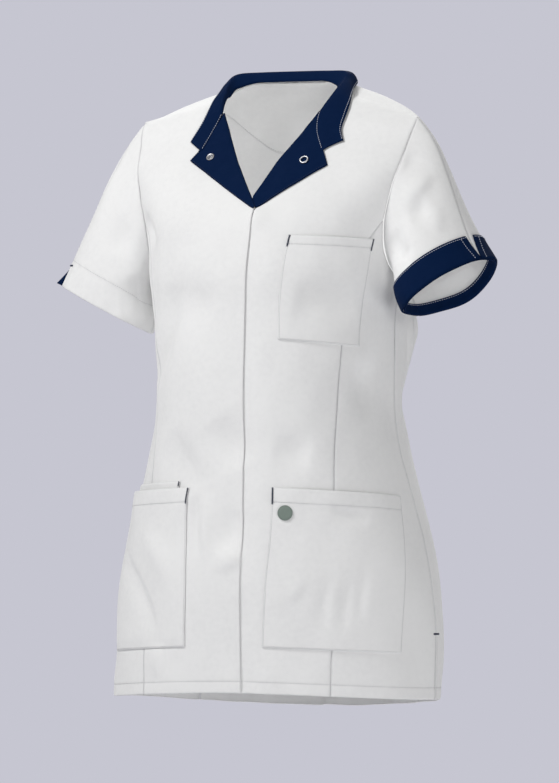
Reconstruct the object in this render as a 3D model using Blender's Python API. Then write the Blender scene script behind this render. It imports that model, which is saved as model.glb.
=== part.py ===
"""Medical tunic: a women's short-sleeved fitted tunic, worn form without a wearer.

Metres, +Z up. The origin is at the base of the neck, level with the shoulder seams.
The front faces -Y and the wearer's left is +X. Every cloth piece is a thin wall whose
outer layer follows one body form, which is read from the two tables of sections below.
"""
import math
from collections import namedtuple
from functools import lru_cache

import bmesh
import bpy
import numpy as np
from mathutils import Matrix, Vector

OBJECT_NAME = "medical_tunic"

# Cloth and seams
CLOTH = 0.0014
SEAM_GAP = 0.00036
LAYER_GAP = 0.00036

# Heights on the body form
HEM = -0.711
ARMPIT = -0.212
RIDGE = -0.026
SLIT_TOP = -0.634
V_BOTTOM = -0.134
SEAM_MEETS_ARMHOLE = -0.1475
BACK_NECK_LEVEL = -0.0292
NECK_CORNER = 0.0500
NECK_HALF_WIDTH = 0.0742

# The neck stands up from the shoulder line, by this much at each x
NeckRow = namedtuple("NeckRow", "x rise")
NECK = (
    NeckRow(0.0000, 0.0012),
    NeckRow(0.0300, 0.0021),
    NeckRow(0.0500, 0.0040),
    NeckRow(0.0640, 0.0045),
    NeckRow(0.0725, 0.0032),
    NeckRow(0.0830, 0.0015),
    NeckRow(0.0950, 0.0000),
    NeckRow(0.1100, 0.0000),
)
NECK_RISE_START = -0.048
NECK_RISE_END = -0.030
BACK_REACH_START = -0.110

# Rows of a panel: the levels that always have one, and the longest step between two
ROW_MARKS = (
    HEM, SLIT_TOP, -0.57, -0.461, -0.375, -0.286, ARMPIT, -0.188, -0.161, -0.134, -0.1, -0.07, -0.05, RIDGE
)
ROW_LENGTH = 0.042
ROW_LENGTH_HIGH = 0.0150
ROW_LENGTH_TOP = 0.0080
TOP_ROWS_FROM = -0.0501

# Front edges, overlap and side slits
EDGE_PAST_CENTRE = 0.0198
UNDER_EDGE = -0.020
UNDER_EDGE_TOP = -0.165
LEFT_COMES_OUT = -0.1200
TUCK_DEPTH = 0.0021
TUCK_START = 0.042
TUCK_END = 0.0225
TUCK_TOP = -0.085
TUCK_FULL = -0.105
SLIT_OPENING = 0.0016

FRONT_SHARES = (0.0, 0.08, 0.17, 0.28, 0.42, 0.60, 0.80, 1.0)

# Roll lines of the two lapels, from the foot of the V up to the shoulder seam: height and x
RollPoint = namedtuple("RollPoint", "z x")
RIGHT_ROLL = (
    RollPoint(-0.1310, 0.0198),
    RollPoint(-0.0766, -0.0239),
    RollPoint(-0.0181, -0.0632),
    RollPoint(-0.0080, -0.0712),
    RollPoint(0.0040, -0.0740),
    RollPoint(0.0300, -0.0742),
)
LEFT_ROLL = (
    RollPoint(-0.1180, 0.0107),
    RollPoint(-0.0766, 0.0268),
    RollPoint(-0.0181, 0.0612),
    RollPoint(-0.0080, 0.0710),
    RollPoint(0.0040, 0.0740),
    RollPoint(0.0300, 0.0742),
)
LAPEL_GAP = 0.0006
GORGE_GAP = 0.0019

# Body sections. level: height at the side seam; half_width: side seam from the middle;
# side_y: the side seam's depth; centre_y: the depth at the centre line; fullness: 2 is an
# ellipse and more is squarer; lift: centre height over side height; flat: how level the rise
# stays near the centre; seam: the princess seam's angle, in degrees round from the centre line.
Section = namedtuple("Section", "level half_width side_y centre_y fullness lift flat seam")
FRONT = (
    Section(-0.711, 0.2073, -0.0020, -0.1430, 1.86, 0.012, 1.6, 37.9),
    Section(-0.667, 0.2070, 0.0000, -0.1440, 1.82, 0.010, 1.6, 38.5),
    Section(-0.619, 0.2045, 0.0040, -0.1445, 1.82, 0.007, 1.6, 39.2),
    Section(-0.571, 0.1983, 0.0080, -0.1440, 1.86, 0.004, 1.6, 40.2),
    Section(-0.524, 0.1870, 0.0110, -0.1390, 1.98, 0.002, 1.6, 41.6),
    Section(-0.461, 0.1675, 0.0113, -0.1360, 2.15, 0.000, 1.6, 44.5),
    Section(-0.417, 0.1555, 0.0115, -0.1362, 2.20, 0.000, 1.6, 48.0),
    Section(-0.375, 0.1485, 0.0120, -0.1365, 2.20, 0.000, 1.6, 51.3),
    Section(-0.333, 0.1480, 0.0112, -0.1350, 2.24, 0.000, 1.6, 52.4),
    Section(-0.286, 0.1495, 0.0090, -0.1318, 2.25, 0.000, 1.6, 53.6),
    Section(-0.250, 0.1530, 0.0055, -0.1302, 2.10, 0.000, 1.6, 55.5),
    Section(-0.212, 0.1590, 0.0040, -0.1285, 2.03, 0.000, 1.6, 57.5),
    Section(-0.180, 0.1620, 0.0040, -0.1215, 2.02, 0.000, 1.6, 60.5),
    Section(-0.145, 0.1690, 0.0030, -0.1100, 2.08, 0.000, 1.6, 69.0),
    Section(-0.110, 0.1800, 0.0020, -0.0860, 2.20, 0.000, 1.6, 80.0),
    Section(-0.080, 0.1880, 0.0010, -0.0570, 2.40, 0.006, 1.6, 85.0),
    Section(-0.055, 0.1910, 0.0005, -0.0300, 2.20, 0.020, 1.6, 88.0),
    Section(-0.038, 0.1900, 0.0000, -0.0090, 2.10, 0.0345, 1.6, 88.0),
    Section(-0.029, 0.1880, 0.0000, 0.0110, 2.00, 0.0425, 1.6, 88.0),
    Section(-0.026, 0.1870, 0.0000, 0.0240, 2.00, 0.0450, 1.6, 88.0),
)
BACK = (
    Section(-0.711, 0.2073, -0.0020, 0.1260, 1.90, -0.012, 2.2, 46.0),
    Section(-0.667, 0.2070, 0.0000, 0.1440, 1.90, -0.010, 2.2, 47.0),
    Section(-0.619, 0.2045, 0.0040, 0.1570, 1.90, -0.007, 2.2, 48.5),
    Section(-0.571, 0.1983, 0.0080, 0.1590, 1.92, -0.004, 2.2, 50.5),
    Section(-0.524, 0.1870, 0.0110, 0.1540, 2.00, -0.002, 2.2, 53.5),
    Section(-0.461, 0.1675, 0.0113, 0.1470, 2.15, 0.000, 2.2, 59.0),
    Section(-0.417, 0.1555, 0.0115, 0.1370, 2.20, 0.000, 2.2, 64.0),
    Section(-0.375, 0.1485, 0.0120, 0.1240, 2.20, 0.000, 2.2, 68.0),
    Section(-0.333, 0.1480, 0.0112, 0.1330, 2.25, 0.000, 2.2, 68.0),
    Section(-0.286, 0.1495, 0.0090, 0.1440, 2.35, 0.000, 2.2, 67.0),
    Section(-0.250, 0.1530, 0.0055, 0.1440, 2.25, 0.000, 2.2, 67.0),
    Section(-0.212, 0.1590, 0.0040, 0.1400, 2.15, 0.000, 2.2, 67.5),
    Section(-0.180, 0.1620, 0.0040, 0.1360, 2.10, 0.000, 2.2, 69.0),
    Section(-0.145, 0.1690, 0.0030, 0.1300, 2.06, 0.000, 2.2, 72.0),
    Section(-0.110, 0.1800, 0.0020, 0.1210, 2.04, 0.0040, 2.2, 80.0),
    Section(-0.080, 0.1880, 0.0010, 0.1080, 2.00, 0.0140, 2.2, 85.0),
    Section(-0.055, 0.1910, 0.0005, 0.0900, 2.00, 0.0300, 2.2, 88.0),
    Section(-0.038, 0.1900, 0.0000, 0.0680, 2.00, 0.0470, 2.2, 88.0),
    Section(-0.029, 0.1880, 0.0000, 0.0440, 2.00, 0.0525, 2.2, 88.0),
    Section(-0.026, 0.1870, 0.0000, 0.0240, 2.00, 0.0450, 1.6, 88.0),
)

# Armholes: the seam's angle round from the centre line, front and back, at each level
ArmholeRow = namedtuple("ArmholeRow", "level front back")
ARMHOLE = (
    ArmholeRow(-0.2120, 90.0, 90.0),
    ArmholeRow(-0.2095, 85.0, 86.0),
    ArmholeRow(-0.2030, 80.0, 83.0),
    ArmholeRow(-0.1880, 74.6, 79.5),
    ArmholeRow(-0.1610, 70.3, 76.5),
    ArmholeRow(-0.1300, 67.6, 74.5),
    ArmholeRow(-0.1000, 65.2, 73.0),
    ArmholeRow(-0.0700, 65.2, 72.0),
    ArmholeRow(-0.0500, 67.5, 72.0),
    ArmholeRow(-0.0350, 71.5, 73.0),
    ArmholeRow(-0.0280, 74.3, 74.6),
    ArmholeRow(-0.0260, 75.2, 75.2),
)

# Sleeve ends: the hem's middle, the way from it to the over-arm seam, and the way to the front
SleeveEnd = namedtuple("SleeveEnd", "side middle to_overarm to_front axis")
LEFT_END = SleeveEnd(
    side=1,
    middle=(0.2300, -0.010, -0.2263),
    to_overarm=(0.0400, 0.0, 0.0330),
    to_front=(-0.020, -0.055, -0.0085),
    axis=(0.60, -0.10, -0.79),
)
RIGHT_END = SleeveEnd(
    side=-1,
    middle=(-0.2262, -0.005, -0.2513),
    to_overarm=(-0.0600, 0.0, 0.0340),
    to_front=(0.008, -0.045, -0.0060),
    axis=(-0.48, -0.05, -0.87),
)
SLEEVE_START_TOP = (0.70, 0.0, -0.71)
SLEEVE_START_BOTTOM = (0.62, 0.0, -0.78)
SLEEVE_PULL = 0.95
CUFF_SHARE = 0.160
INNER_BAND_SHARE = 0.070
CUFF_SLIT_HALF = 0.0045
RIGHT_SLIT_SHARE = 0.115
RIGHT_SLIT_HALF = 0.0014

# Collar stations from the notch to the middle of the back. A place is a point, or a face of
# the body with an x, a height in front or a y behind, and the distance over the face. The
# wearer's two sides are not quite alike.
Station = namedtuple("Station", "inner roll outer")
COLLAR_BACK = (
    Station((0.0640, 0.0300, 0.0252), (0.0710, 0.0390, 0.0348), ("back", 0.0840, 0.0480, 0.0036)),
    Station((0.0390, 0.0378, 0.0254), (0.0440, 0.0468, 0.0364), ("back", 0.0500, 0.0650, 0.0036)),
    Station((0.0000, 0.0405, 0.0254), (0.0000, 0.0500, 0.0368), ("back", 0.0000, 0.0680, 0.0036)),
)
COLLAR_LEFT = (
    Station(
        ("front", 0.0795, -0.0660, 0.0024),
        ("front", 0.0885, -0.0594, 0.0026),
        ("front", 0.1018, -0.0490, 0.0026),
    ),
    Station(
        ("front", 0.0650, -0.0400, 0.0024),
        ("front", 0.0745, -0.0385, 0.0030),
        ("front", 0.0950, -0.0350, 0.0026),
    ),
    Station(
        ("front", 0.0634, -0.0175, 0.0026),
        ("front", 0.0700, -0.0150, 0.0048),
        ("front", 0.0938, -0.0205, 0.0028),
    ),
    Station((0.0685, -0.0010, -0.0010), (0.0740, 0.0050, 0.0104), ("front", 0.0930, -0.0030, 0.0032)),
    Station((0.0697, 0.0200, 0.0175), (0.0768, 0.0260, 0.0250), ("back", 0.0920, 0.0285, 0.0036)),
) + COLLAR_BACK
COLLAR_RIGHT = (
    Station(
        ("front", 0.0780, -0.0630, 0.0024),
        ("front", 0.0870, -0.0580, 0.0026),
        ("front", 0.0994, -0.0505, 0.0026),
    ),
    Station(
        ("front", 0.0712, -0.0388, 0.0024),
        ("front", 0.0780, -0.0375, 0.0030),
        ("front", 0.0930, -0.0335, 0.0026),
    ),
    Station(
        ("front", 0.0646, -0.0175, 0.0026),
        ("front", 0.0700, -0.0150, 0.0048),
        ("front", 0.0880, -0.0165, 0.0028),
    ),
    Station((0.0685, -0.0010, -0.0010), (0.0740, 0.0050, 0.0104), ("front", 0.0870, 0.0000, 0.0032)),
    Station((0.0697, 0.0200, 0.0175), (0.0760, 0.0260, 0.0260), ("back", 0.0870, 0.0285, 0.0036)),
) + COLLAR_BACK

COLLAR_FALL = 0.42

# Lapels: places on the front as x and height, and how far down the lapel its tip is
NOTCH_SHARE = 0.2
LapelPoints = namedtuple("LapelPoints", "tip_x tip_z foot_x foot_z")
LEFT_LAPEL = LapelPoints(0.0918, -0.0818, 0.0228, -0.1300)
RIGHT_LAPEL = LapelPoints(0.0900, -0.0735, 0.0186, -0.1330)

# Pockets: angles and levels of the corners, and how far the mouth stands off
Pocket = namedtuple(
    "Pocket",
    "top_in top_out foot_in foot_out top_in_level top_out_level foot_in_level foot_out_level gape",
)
CHEST_POCKET = Pocket(23.7, 65.0, 21.0, 63.1, -0.165, -0.169, -0.288, -0.296, 0.0010)
HIP_POCKET_LEFT = Pocket(17.7, 79.6, 15.1, 65.9, -0.461, -0.4715, -0.656, -0.657, 0.0025)
HIP_POCKET_RIGHT = Pocket(17.7, 79.6, 17.2, 67.0, -0.461, -0.4715, -0.656, -0.657, 0.0058)
INNER_POCKET = Pocket(23.5, 72.0, 22.0, 70.0, -0.4535, -0.4600, -0.560, -0.562, 0.0010)

# Back neck facing, a half moon inside the back
FACING_HALF_WIDTH = 0.078
FACING_FOOT = -0.090
FACING_END = -0.036
FACING_GAP = 0.0025
FACING_ROWS = (0.0, 0.16, 0.32, 0.46, 0.58, 0.68, 0.77, 0.85, 0.91, 0.955, 0.985, 1.0)

# Snaps and tab
SNAP_RADIUS = 0.0050
SNAP_THICKNESS = 0.0014
RING_MAJOR = 0.0044
RING_MINOR = 0.0009
SNAP_X = 0.0628
SNAP_Z_LEFT = -0.0768
SNAP_Z_RIGHT = -0.0705
TAB_RADIUS = 0.0085
TAB_THICKNESS = 0.0008
TAB_ANGLE = 22.8
TAB_LEVEL = -0.492

# Colours, linear
WHITE = (0.80, 0.80, 0.80, 1.0)
NAVY = (0.005, 0.014, 0.070, 1.0)
SILVER = (0.62, 0.62, 0.63, 1.0)
SAGE = (0.25, 0.30, 0.25, 1.0)


def clear_scene():
    for thing in list(bpy.data.objects):
        bpy.data.objects.remove(thing, do_unlink=True)


def prepared(rows):
    """A table as arrays: its row type, levels, columns and their slopes."""
    levels = np.array([row[0] for row in rows])
    data = np.array([row[1:] for row in rows])
    return type(rows[0]), levels, data, np.gradient(data, levels, axis=0)


TABLES = {
    "front": prepared(FRONT),
    "back": prepared(BACK),
    "armhole": prepared(ARMHOLE),
    "neck": prepared(NECK),
}


@lru_cache(maxsize=None)
def smooth_read(table, level):
    """Every column of a table at one level, read along a smooth curve."""
    kind, levels, data, slope = TABLES[table]
    k = int(np.clip(np.searchsorted(levels, level) - 1, 0, len(levels) - 2))
    span = levels[k + 1] - levels[k]
    t = min(max((level - levels[k]) / span, 0.0), 1.0)
    start = (2 * t**3 - 3 * t**2 + 1) * data[k] + (t**3 - 2 * t**2 + t) * span * slope[k]
    end = (3 * t**2 - 2 * t**3) * data[k + 1] + (t**3 - t**2) * span * slope[k + 1]
    return kind(level, *(start + end).tolist())


def ease(start, end, value):
    """0 at the start, 1 at the end, with a soft beginning and end."""
    t = min(max((value - start) / (end - start), 0.0), 1.0)
    return t * t * (3 - 2 * t)


def neck_rise(x, level):
    return smooth_read("neck", abs(x)).rise * ease(NECK_RISE_START, NECK_RISE_END, level)


def angle_at(face, x, level):
    """The angle round from the centre line where the body form has this x."""
    row = smooth_read(face, level)
    across = min(abs(x) / row.half_width, 1.0)
    return math.copysign(math.degrees(math.asin(across ** (row.fullness / 2))), x)


def body_point(face, angle, level):
    row = smooth_read(face, level)
    turn = math.radians(abs(angle))
    across = math.sin(turn) ** (2 / row.fullness)
    deep = max(math.cos(turn), 0.0) ** (2 / row.fullness)
    x = math.copysign(row.half_width * across, angle)
    y = row.side_y + (row.centre_y - row.side_y) * deep
    return Vector((x, y, level + row.lift * (1 - across**row.flat) + neck_rise(x, level)))


def body_normal(face, angle, level):
    """The way out of the body form, from the section's own curve and its slope upwards."""
    row = smooth_read(face, level)
    turn = math.radians(abs(angle))
    across = math.sin(turn) ** (2 / row.fullness)
    deep = max(math.cos(turn), 0.0) ** (2 / row.fullness)
    depth = row.centre_y - row.side_y
    if abs(depth) < 1e-5:
        depth = math.copysign(1e-5, depth)
    out_x = math.copysign(across ** (row.fullness - 1) / row.half_width, angle)
    out_y = deep ** (row.fullness - 1) / depth
    tilt = -math.copysign(row.lift * row.flat * across ** (row.flat - 1) / row.half_width, angle)
    along = Vector((-out_y, out_x, -out_y * tilt))
    step = 0.0006
    low = max(level - step, HEM)
    high = min(level + step, RIDGE)
    up = body_point(face, angle, high) - body_point(face, angle, low)
    if level > RIDGE - 1e-6:
        along = body_point(face, angle + 1, level) - body_point(face, angle - 1, level)
        up = Vector((0, 1, 0))
    normal = along.cross(up).normalized()
    middle = Vector((0, 0.01, min(level - 0.02, -0.06)))
    if normal.dot(body_point(face, angle, level) - middle) < 0:
        normal.negate()
    return normal


def armhole_angle(face, level):
    return getattr(smooth_read("armhole", level), face)


def seam_angle(face, level):
    return smooth_read(face, level).seam


def gap_angle(face, angle, level, gap):
    """A width along the section as an angle."""
    near = body_point(face, angle - 0.5 if angle > 1 else angle + 0.5, level)
    width = (body_point(face, angle, level) - near).length
    return 0.5 * gap / max(width, 1e-6)


def material(name, colour, roughness, metallic=0.0):
    mat = bpy.data.materials.new(name)
    mat.use_nodes = True
    shader = mat.node_tree.nodes["Principled BSDF"]
    shader.inputs["Base Color"].default_value = colour
    shader.inputs["Roughness"].default_value = roughness
    shader.inputs["Metallic"].default_value = metallic
    return mat


def add_object(name, mesh, mat, collection):
    obj = bpy.data.objects.new(name, mesh)
    mesh.materials.append(mat)
    collection.objects.link(obj)
    return obj


def wall(name, pair, us, vs, mat, collection):
    """A cloth wall: pair(u, v) gives its outer and inner point; the rim is closed all round."""
    form = bmesh.new()
    outer = {}
    inner = {}
    for i, u in enumerate(us):
        for j, v in enumerate(vs):
            top, under = pair(u, v)
            outer[i, j] = form.verts.new(top)
            inner[i, j] = form.verts.new(under)
    last_i = len(us) - 1
    last_j = len(vs) - 1
    for i in range(last_i):
        for j in range(last_j):
            square = ((i, j), (i + 1, j), (i + 1, j + 1), (i, j + 1))
            form.faces.new([outer[key] for key in square])
            form.faces.new([inner[key] for key in reversed(square)])
    rim = [(i, 0) for i in range(last_i)] + [(last_i, j) for j in range(last_j)]
    rim += [(i, last_j) for i in range(last_i, 0, -1)] + [(0, j) for j in range(last_j, 0, -1)]
    for here, there in zip(rim, rim[1:] + rim[:1]):
        form.faces.new((outer[there], outer[here], inner[here], inner[there]))
    bmesh.ops.recalc_face_normals(form, faces=form.faces)
    mesh = bpy.data.meshes.new(name)
    form.to_mesh(mesh)
    form.free()
    mesh.shade_smooth()
    mesh.set_sharp_from_angle(angle=math.radians(40))
    return add_object(name, mesh, mat, collection)


def on_body(face, angle, level, out):
    point = body_point(face, angle, level) + body_normal(face, angle, level) * out
    if level > RIDGE - 1e-6:
        point.y += SEAM_GAP * (-0.6 if face == "front" else 0.6)
    return point


def spread(start, end, count):
    return list(np.linspace(start, end, count))


def body_levels(start, end):
    """Levels for a panel's rows, spaced by length along the centre lines."""
    levels = []
    for low, high in zip(ROW_MARKS, ROW_MARKS[1:]):
        low = max(low, start)
        high = min(high, end)
        if high <= low:
            continue
        fine = spread(low, high, 60)
        lengths = [0.0]
        for a, b in zip(fine, fine[1:]):
            steps = (body_point(face, 0.0, b) - body_point(face, 0.0, a) for face in ("front", "back"))
            lengths.append(lengths[-1] + max(step.length for step in steps))
        most = ROW_LENGTH if low < ARMPIT else ROW_LENGTH_HIGH
        if low > TOP_ROWS_FROM:
            most = ROW_LENGTH_TOP
        count = max(1, math.ceil(lengths[-1] / most))
        levels += [float(np.interp(lengths[-1] * k / count, lengths, fine)) for k in range(count)]
    return levels + [end]


def panel(name, face, side, low_edge, high_edge, levels, shares, mat, collection, tuck=None):
    """A body panel between two edges, each a function from level to an angle without its sign."""

    def pair(share, level):
        low = low_edge(level)
        high = high_edge(level)
        angle = side * (low + (high - low) * share)
        out = tuck(angle, level) if tuck else 0.0
        return on_body(face, angle, level, out), on_body(face, angle, level, out - CLOTH)

    return wall(name, pair, shares, levels, mat, collection)


def inside_edge(edge, face, gap=SEAM_GAP / 2):
    """The same edge, drawn in by half the seam gap towards the side."""
    return lambda level: edge(level) + gap_angle(face, edge(level), level, gap)


def outside_edge(edge, face, gap=SEAM_GAP / 2):
    return lambda level: edge(level) - gap_angle(face, edge(level), level, gap)


def side_edge(face):
    """The side seam, the slit under it and the armhole over it."""

    def edge(level):
        if level > ARMPIT:
            return armhole_angle(face, level)
        open_share = max(0.0, (SLIT_TOP - level) / (SLIT_TOP - HEM))
        return 90 - gap_angle(face, 89, level, SEAM_GAP / 2 + SLIT_OPENING / 2 * open_share)

    return edge


def princess(face):
    return lambda level: seam_angle(face, level)


def princess_or_armhole(face):
    return lambda level: min(seam_angle(face, level), armhole_angle(face, level) if level > ARMPIT else 90)


@lru_cache(maxsize=None)
def level_at(face, x, reach):
    """The level where the body form has this x and, in front, this height or, behind, this y."""
    low = HEM if face == "front" else BACK_REACH_START
    high = RIDGE
    for _ in range(40):
        level = (low + high) / 2
        point = body_point(face, angle_at(face, x, level), level)
        short = point.z < reach if face == "front" else point.y > reach
        low, high = (level, high) if short else (low, level)
    return (low + high) / 2


def roll_x(roll, level):
    """The signed x where a roll line crosses the front at this level."""
    heights = [point.z for point in roll]
    places = [point.x for point in roll]
    x = places[1]
    for _ in range(12):
        z = body_point("front", angle_at("front", x, level), level).z
        x = float(np.interp(z, heights, places))
    return x


@lru_cache(maxsize=None)
def right_front_edge(level):
    """The signed x of the right front's edge: past the centre, then up its roll line."""
    return EDGE_PAST_CENTRE if level <= V_BOTTOM else roll_x(RIGHT_ROLL, level)


@lru_cache(maxsize=None)
def left_front_edge(level):
    """The left front runs on under the right one and comes out at its own roll line."""
    if level > LEFT_COMES_OUT:
        return roll_x(LEFT_ROLL, level)
    share = min(max((level - UNDER_EDGE_TOP) / (LEFT_COMES_OUT - UNDER_EDGE_TOP), 0.0), 1.0)
    return UNDER_EDGE + (roll_x(LEFT_ROLL, LEFT_COMES_OUT) - UNDER_EDGE) * share


def tuck_under(angle, level):
    """How far the left front lies under the right one, by its x."""
    x = body_point("front", angle, level).x
    return -TUCK_DEPTH * ease(TUCK_START, TUCK_END, x) * ease(TUCK_TOP, TUCK_FULL, level)


def build_fronts(cloth, collection):
    levels = body_levels(HEM, RIDGE)
    outer = outside_edge(princess_or_armhole("front"), "front")

    def right_edge(level):
        return -angle_at("front", right_front_edge(level), level)

    def left_edge(level):
        return angle_at("front", left_front_edge(level), level)

    panel("front_right_centre", "front", -1, right_edge, outer, levels, FRONT_SHARES, cloth, collection)
    panel(
        "front_left_centre", "front", 1, left_edge, outer, levels, FRONT_SHARES, cloth, collection, tuck_under
    )
    side_levels = body_levels(HEM, SEAM_MEETS_ARMHOLE)
    for name, side in (("front_right_side", -1), ("front_left_side", 1)):
        inner = inside_edge(princess("front"), "front")
        panel(name, "front", side, inner, side_edge("front"), side_levels, spread(0, 1, 7), cloth, collection)


def neck_top(x):
    """The back's top level: the neckline near the middle and the shoulder seam outside it."""
    return BACK_NECK_LEVEL + (RIDGE - BACK_NECK_LEVEL) * ease(NECK_CORNER, NECK_HALF_WIDTH, abs(x))


def build_back(cloth, collection):
    levels = body_levels(HEM, RIDGE)
    outer = outside_edge(princess_or_armhole("back"), "back")

    def pair(share, level):
        angle = share * outer(level)
        x = body_point("back", angle, level).x
        bend = min(max((level + 0.05) / 0.024, 0.0), 1.0)
        held = level - (RIDGE - neck_top(x)) * bend
        return on_body("back", angle, held, 0.0), on_body("back", angle, held, -CLOTH)

    wall("back_centre", pair, spread(-1, 1, 17), levels, cloth, collection)
    side_levels = body_levels(HEM, -0.1275)
    for name, side in (("back_right_side", -1), ("back_left_side", 1)):
        inner = inside_edge(princess("back"), "back")
        panel(name, "back", side, inner, side_edge("back"), side_levels, spread(0, 1, 6), cloth, collection)


def armhole_run(side, face):
    """Outer and inner points along one half of an armhole, from the shoulder to the armpit."""
    levels = spread(RIDGE, ARMPIT, 160)
    outer = []
    inner = []
    for level in levels:
        angle = side * armhole_angle(face, level)
        step = SEAM_GAP * 1.6
        way = body_point(face, angle + side * 0.3, level) - body_point(face, angle - side * 0.3, level)
        low_share = min(max((level - ARMPIT) / 0.012, 0.0), 1.0)
        way = way.normalized() * low_share + Vector((0, 0, 1)) * (1 - low_share)
        outer.append(body_point(face, angle, level) + way.normalized() * step)
        inner.append(outer[-1] - body_normal(face, angle, level) * CLOTH)
    return outer, inner


def along_run(points, share):
    """The point a share of the way along a line of points, by length."""
    lengths = [0.0]
    for a, b in zip(points, points[1:]):
        lengths.append(lengths[-1] + (b - a).length)
    target = share * lengths[-1]
    return Vector([float(np.interp(target, lengths, [p[k] for p in points])) for k in range(3)])


class Sleeve:
    """A sleeve lofted from its armhole to its hem. turn is 0 at the over-arm seam, 0.5 under
    the arm by way of the front, and 1 back at the over-arm seam by way of the back."""

    def __init__(self, end):
        self.end = end
        self.runs = {face: armhole_run(end.side, face) for face in ("front", "back")}

    def start(self, turn, layer):
        face = "front" if turn <= 0.5 else "back"
        share = 2 * turn if turn <= 0.5 else 2 * (1 - turn)
        return along_run(self.runs[face][layer], share)

    def hem(self, turn):
        a = 2 * math.pi * turn
        end = self.end
        return Vector(end.middle) + Vector(end.to_overarm) * math.cos(a) + Vector(end.to_front) * math.sin(a)

    def point(self, turn, down):
        start = self.start(turn, 0)
        end = self.hem(turn)
        chord = (end - start).length * SLEEVE_PULL
        under = 0.5 - 0.5 * math.cos(2 * math.pi * turn)
        flip = Vector((self.end.side, 1, 1))
        leave = Vector(SLEEVE_START_TOP).lerp(Vector(SLEEVE_START_BOTTOM), under) * flip
        leave = leave.normalized() * chord
        arrive = Vector(self.end.axis).normalized() * chord
        t = down
        blend = start * (2 * t**3 - 3 * t**2 + 1) + leave * (t**3 - 2 * t**2 + t)
        return blend + end * (3 * t**2 - 2 * t**3) + arrive * (t**3 - t**2)

    def normal(self, turn, down):
        d = 0.004
        around = self.point(min(turn + d, 1.0), down) - self.point(max(turn - d, 0.0), down)
        if turn < d or turn > 1 - d:
            around = self.point(d, down) - self.point(1 - d, down)
        along = self.point(turn, min(down + d, 1)) - self.point(turn, max(down - d, 0))
        normal = around.cross(along).normalized()
        centre = Vector(self.end.middle).lerp(Vector((self.end.side * 0.165, 0.0, -0.12)), 1 - down)
        return normal if normal.dot(self.point(turn, down) - centre) > 0 else -normal

    def pair(self, turn, down, out=0.0, thickness=CLOTH):
        outer = self.point(turn, down)
        away = self.normal(turn, down)
        inner = outer - away * thickness
        if down < 0.12 and out == 0.0:
            share = down / 0.12
            inner = (self.start(turn, 1) + (outer - self.start(turn, 0))).lerp(inner, share)
            return outer, inner
        return outer + away * out, inner + away * out

    def turn_for(self, width, down):
        """A width round the sleeve, as a turn."""
        round_it = sum(
            (self.point((k + 1) / 24, down) - self.point(k / 24, down)).length for k in range(24)
        )
        return width / round_it


def sleeve_half(name, sleeve, half, ends, downs, out, slit, mat, collection, thickness=CLOTH, columns=10):
    """One half of a sleeve or cuff; slit(down) is its half opening at the over-arm seam."""

    def pair(share, down):
        over = sleeve.turn_for(slit(down), down)
        under = sleeve.turn_for(SEAM_GAP / 2, down)
        first, last = (over, 0.5 - under) if half == "front" else (0.5 + under, 1 - over)
        return sleeve.pair(first + (last - first) * share, down, out, thickness)

    return wall(name, pair, spread(ends[0], ends[1], columns + 1), downs, mat, collection)


def build_sleeves(cloth, navy, collection):
    downs = [0.0, 0.06, 0.12, 0.22, 0.34, 0.46, 0.58, 0.70, 0.78, 0.84, 0.88, 0.92, 0.96]
    left = Sleeve(LEFT_END)
    right = Sleeve(RIGHT_END)

    def closed(down):
        return SEAM_GAP / 2

    def right_slit(down):
        share = max(0.0, (down - 1 + RIGHT_SLIT_SHARE) / RIGHT_SLIT_SHARE)
        return SEAM_GAP / 2 + RIGHT_SLIT_HALF * share

    def cuff_slit(down):
        return SEAM_GAP / 2 + CUFF_SLIT_HALF * (1 - down) / CUFF_SHARE

    band = spread(1 - CUFF_SHARE, 1, 5)
    lift = 2 * LAYER_GAP + CLOTH
    for half in ("front", "back"):
        left_downs = downs + [0.99]
        right_downs = downs + [1.0]
        sleeve_half(f"sleeve_left_{half}", left, half, (0, 1), left_downs, 0.0, closed, cloth, collection)
        sleeve_half(
            f"sleeve_right_{half}", right, half, (0, 1), right_downs, 0.0, right_slit, cloth, collection
        )
        sleeve_half(f"cuff_left_{half}", left, half, (0, 1), band, lift, cuff_slit, navy, collection)
    inner_gap = SEAM_GAP / 2

    def inner_band(sleeve, start, end):
        def pair(share, down):
            edge = sleeve.turn_for(inner_gap, down)
            turn = (edge + (1 - 2 * edge) * share + 0.5) % 1.0
            return sleeve.pair(turn, down, -LAYER_GAP - CLOTH)

        return pair, spread(0, 1, 21), spread(start, end, 4)

    pair, us, vs = inner_band(left, 1 - INNER_BAND_SHARE, 1.0)
    wall("cuff_left_inner", pair, us, vs, navy, collection)
    pair, us, vs = inner_band(right, 1 - CUFF_SHARE, 0.985)
    wall("hem_facing_right", pair, us, vs, navy, collection)


def place_on(place, side=1):
    """A place of the collar's table as a point."""
    if len(place) == 3:
        return Vector((side * place[0], place[1], place[2]))
    face, x, z, over = place
    level = level_at(face, x, z)
    return on_body(face, angle_at(face, side * x, level), level, over)


@lru_cache(maxsize=None)
def station_place(i, key, side):
    row = (COLLAR_RIGHT if side < 0 else COLLAR_LEFT)[i]
    return tuple(place_on(getattr(row, key), side))


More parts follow.
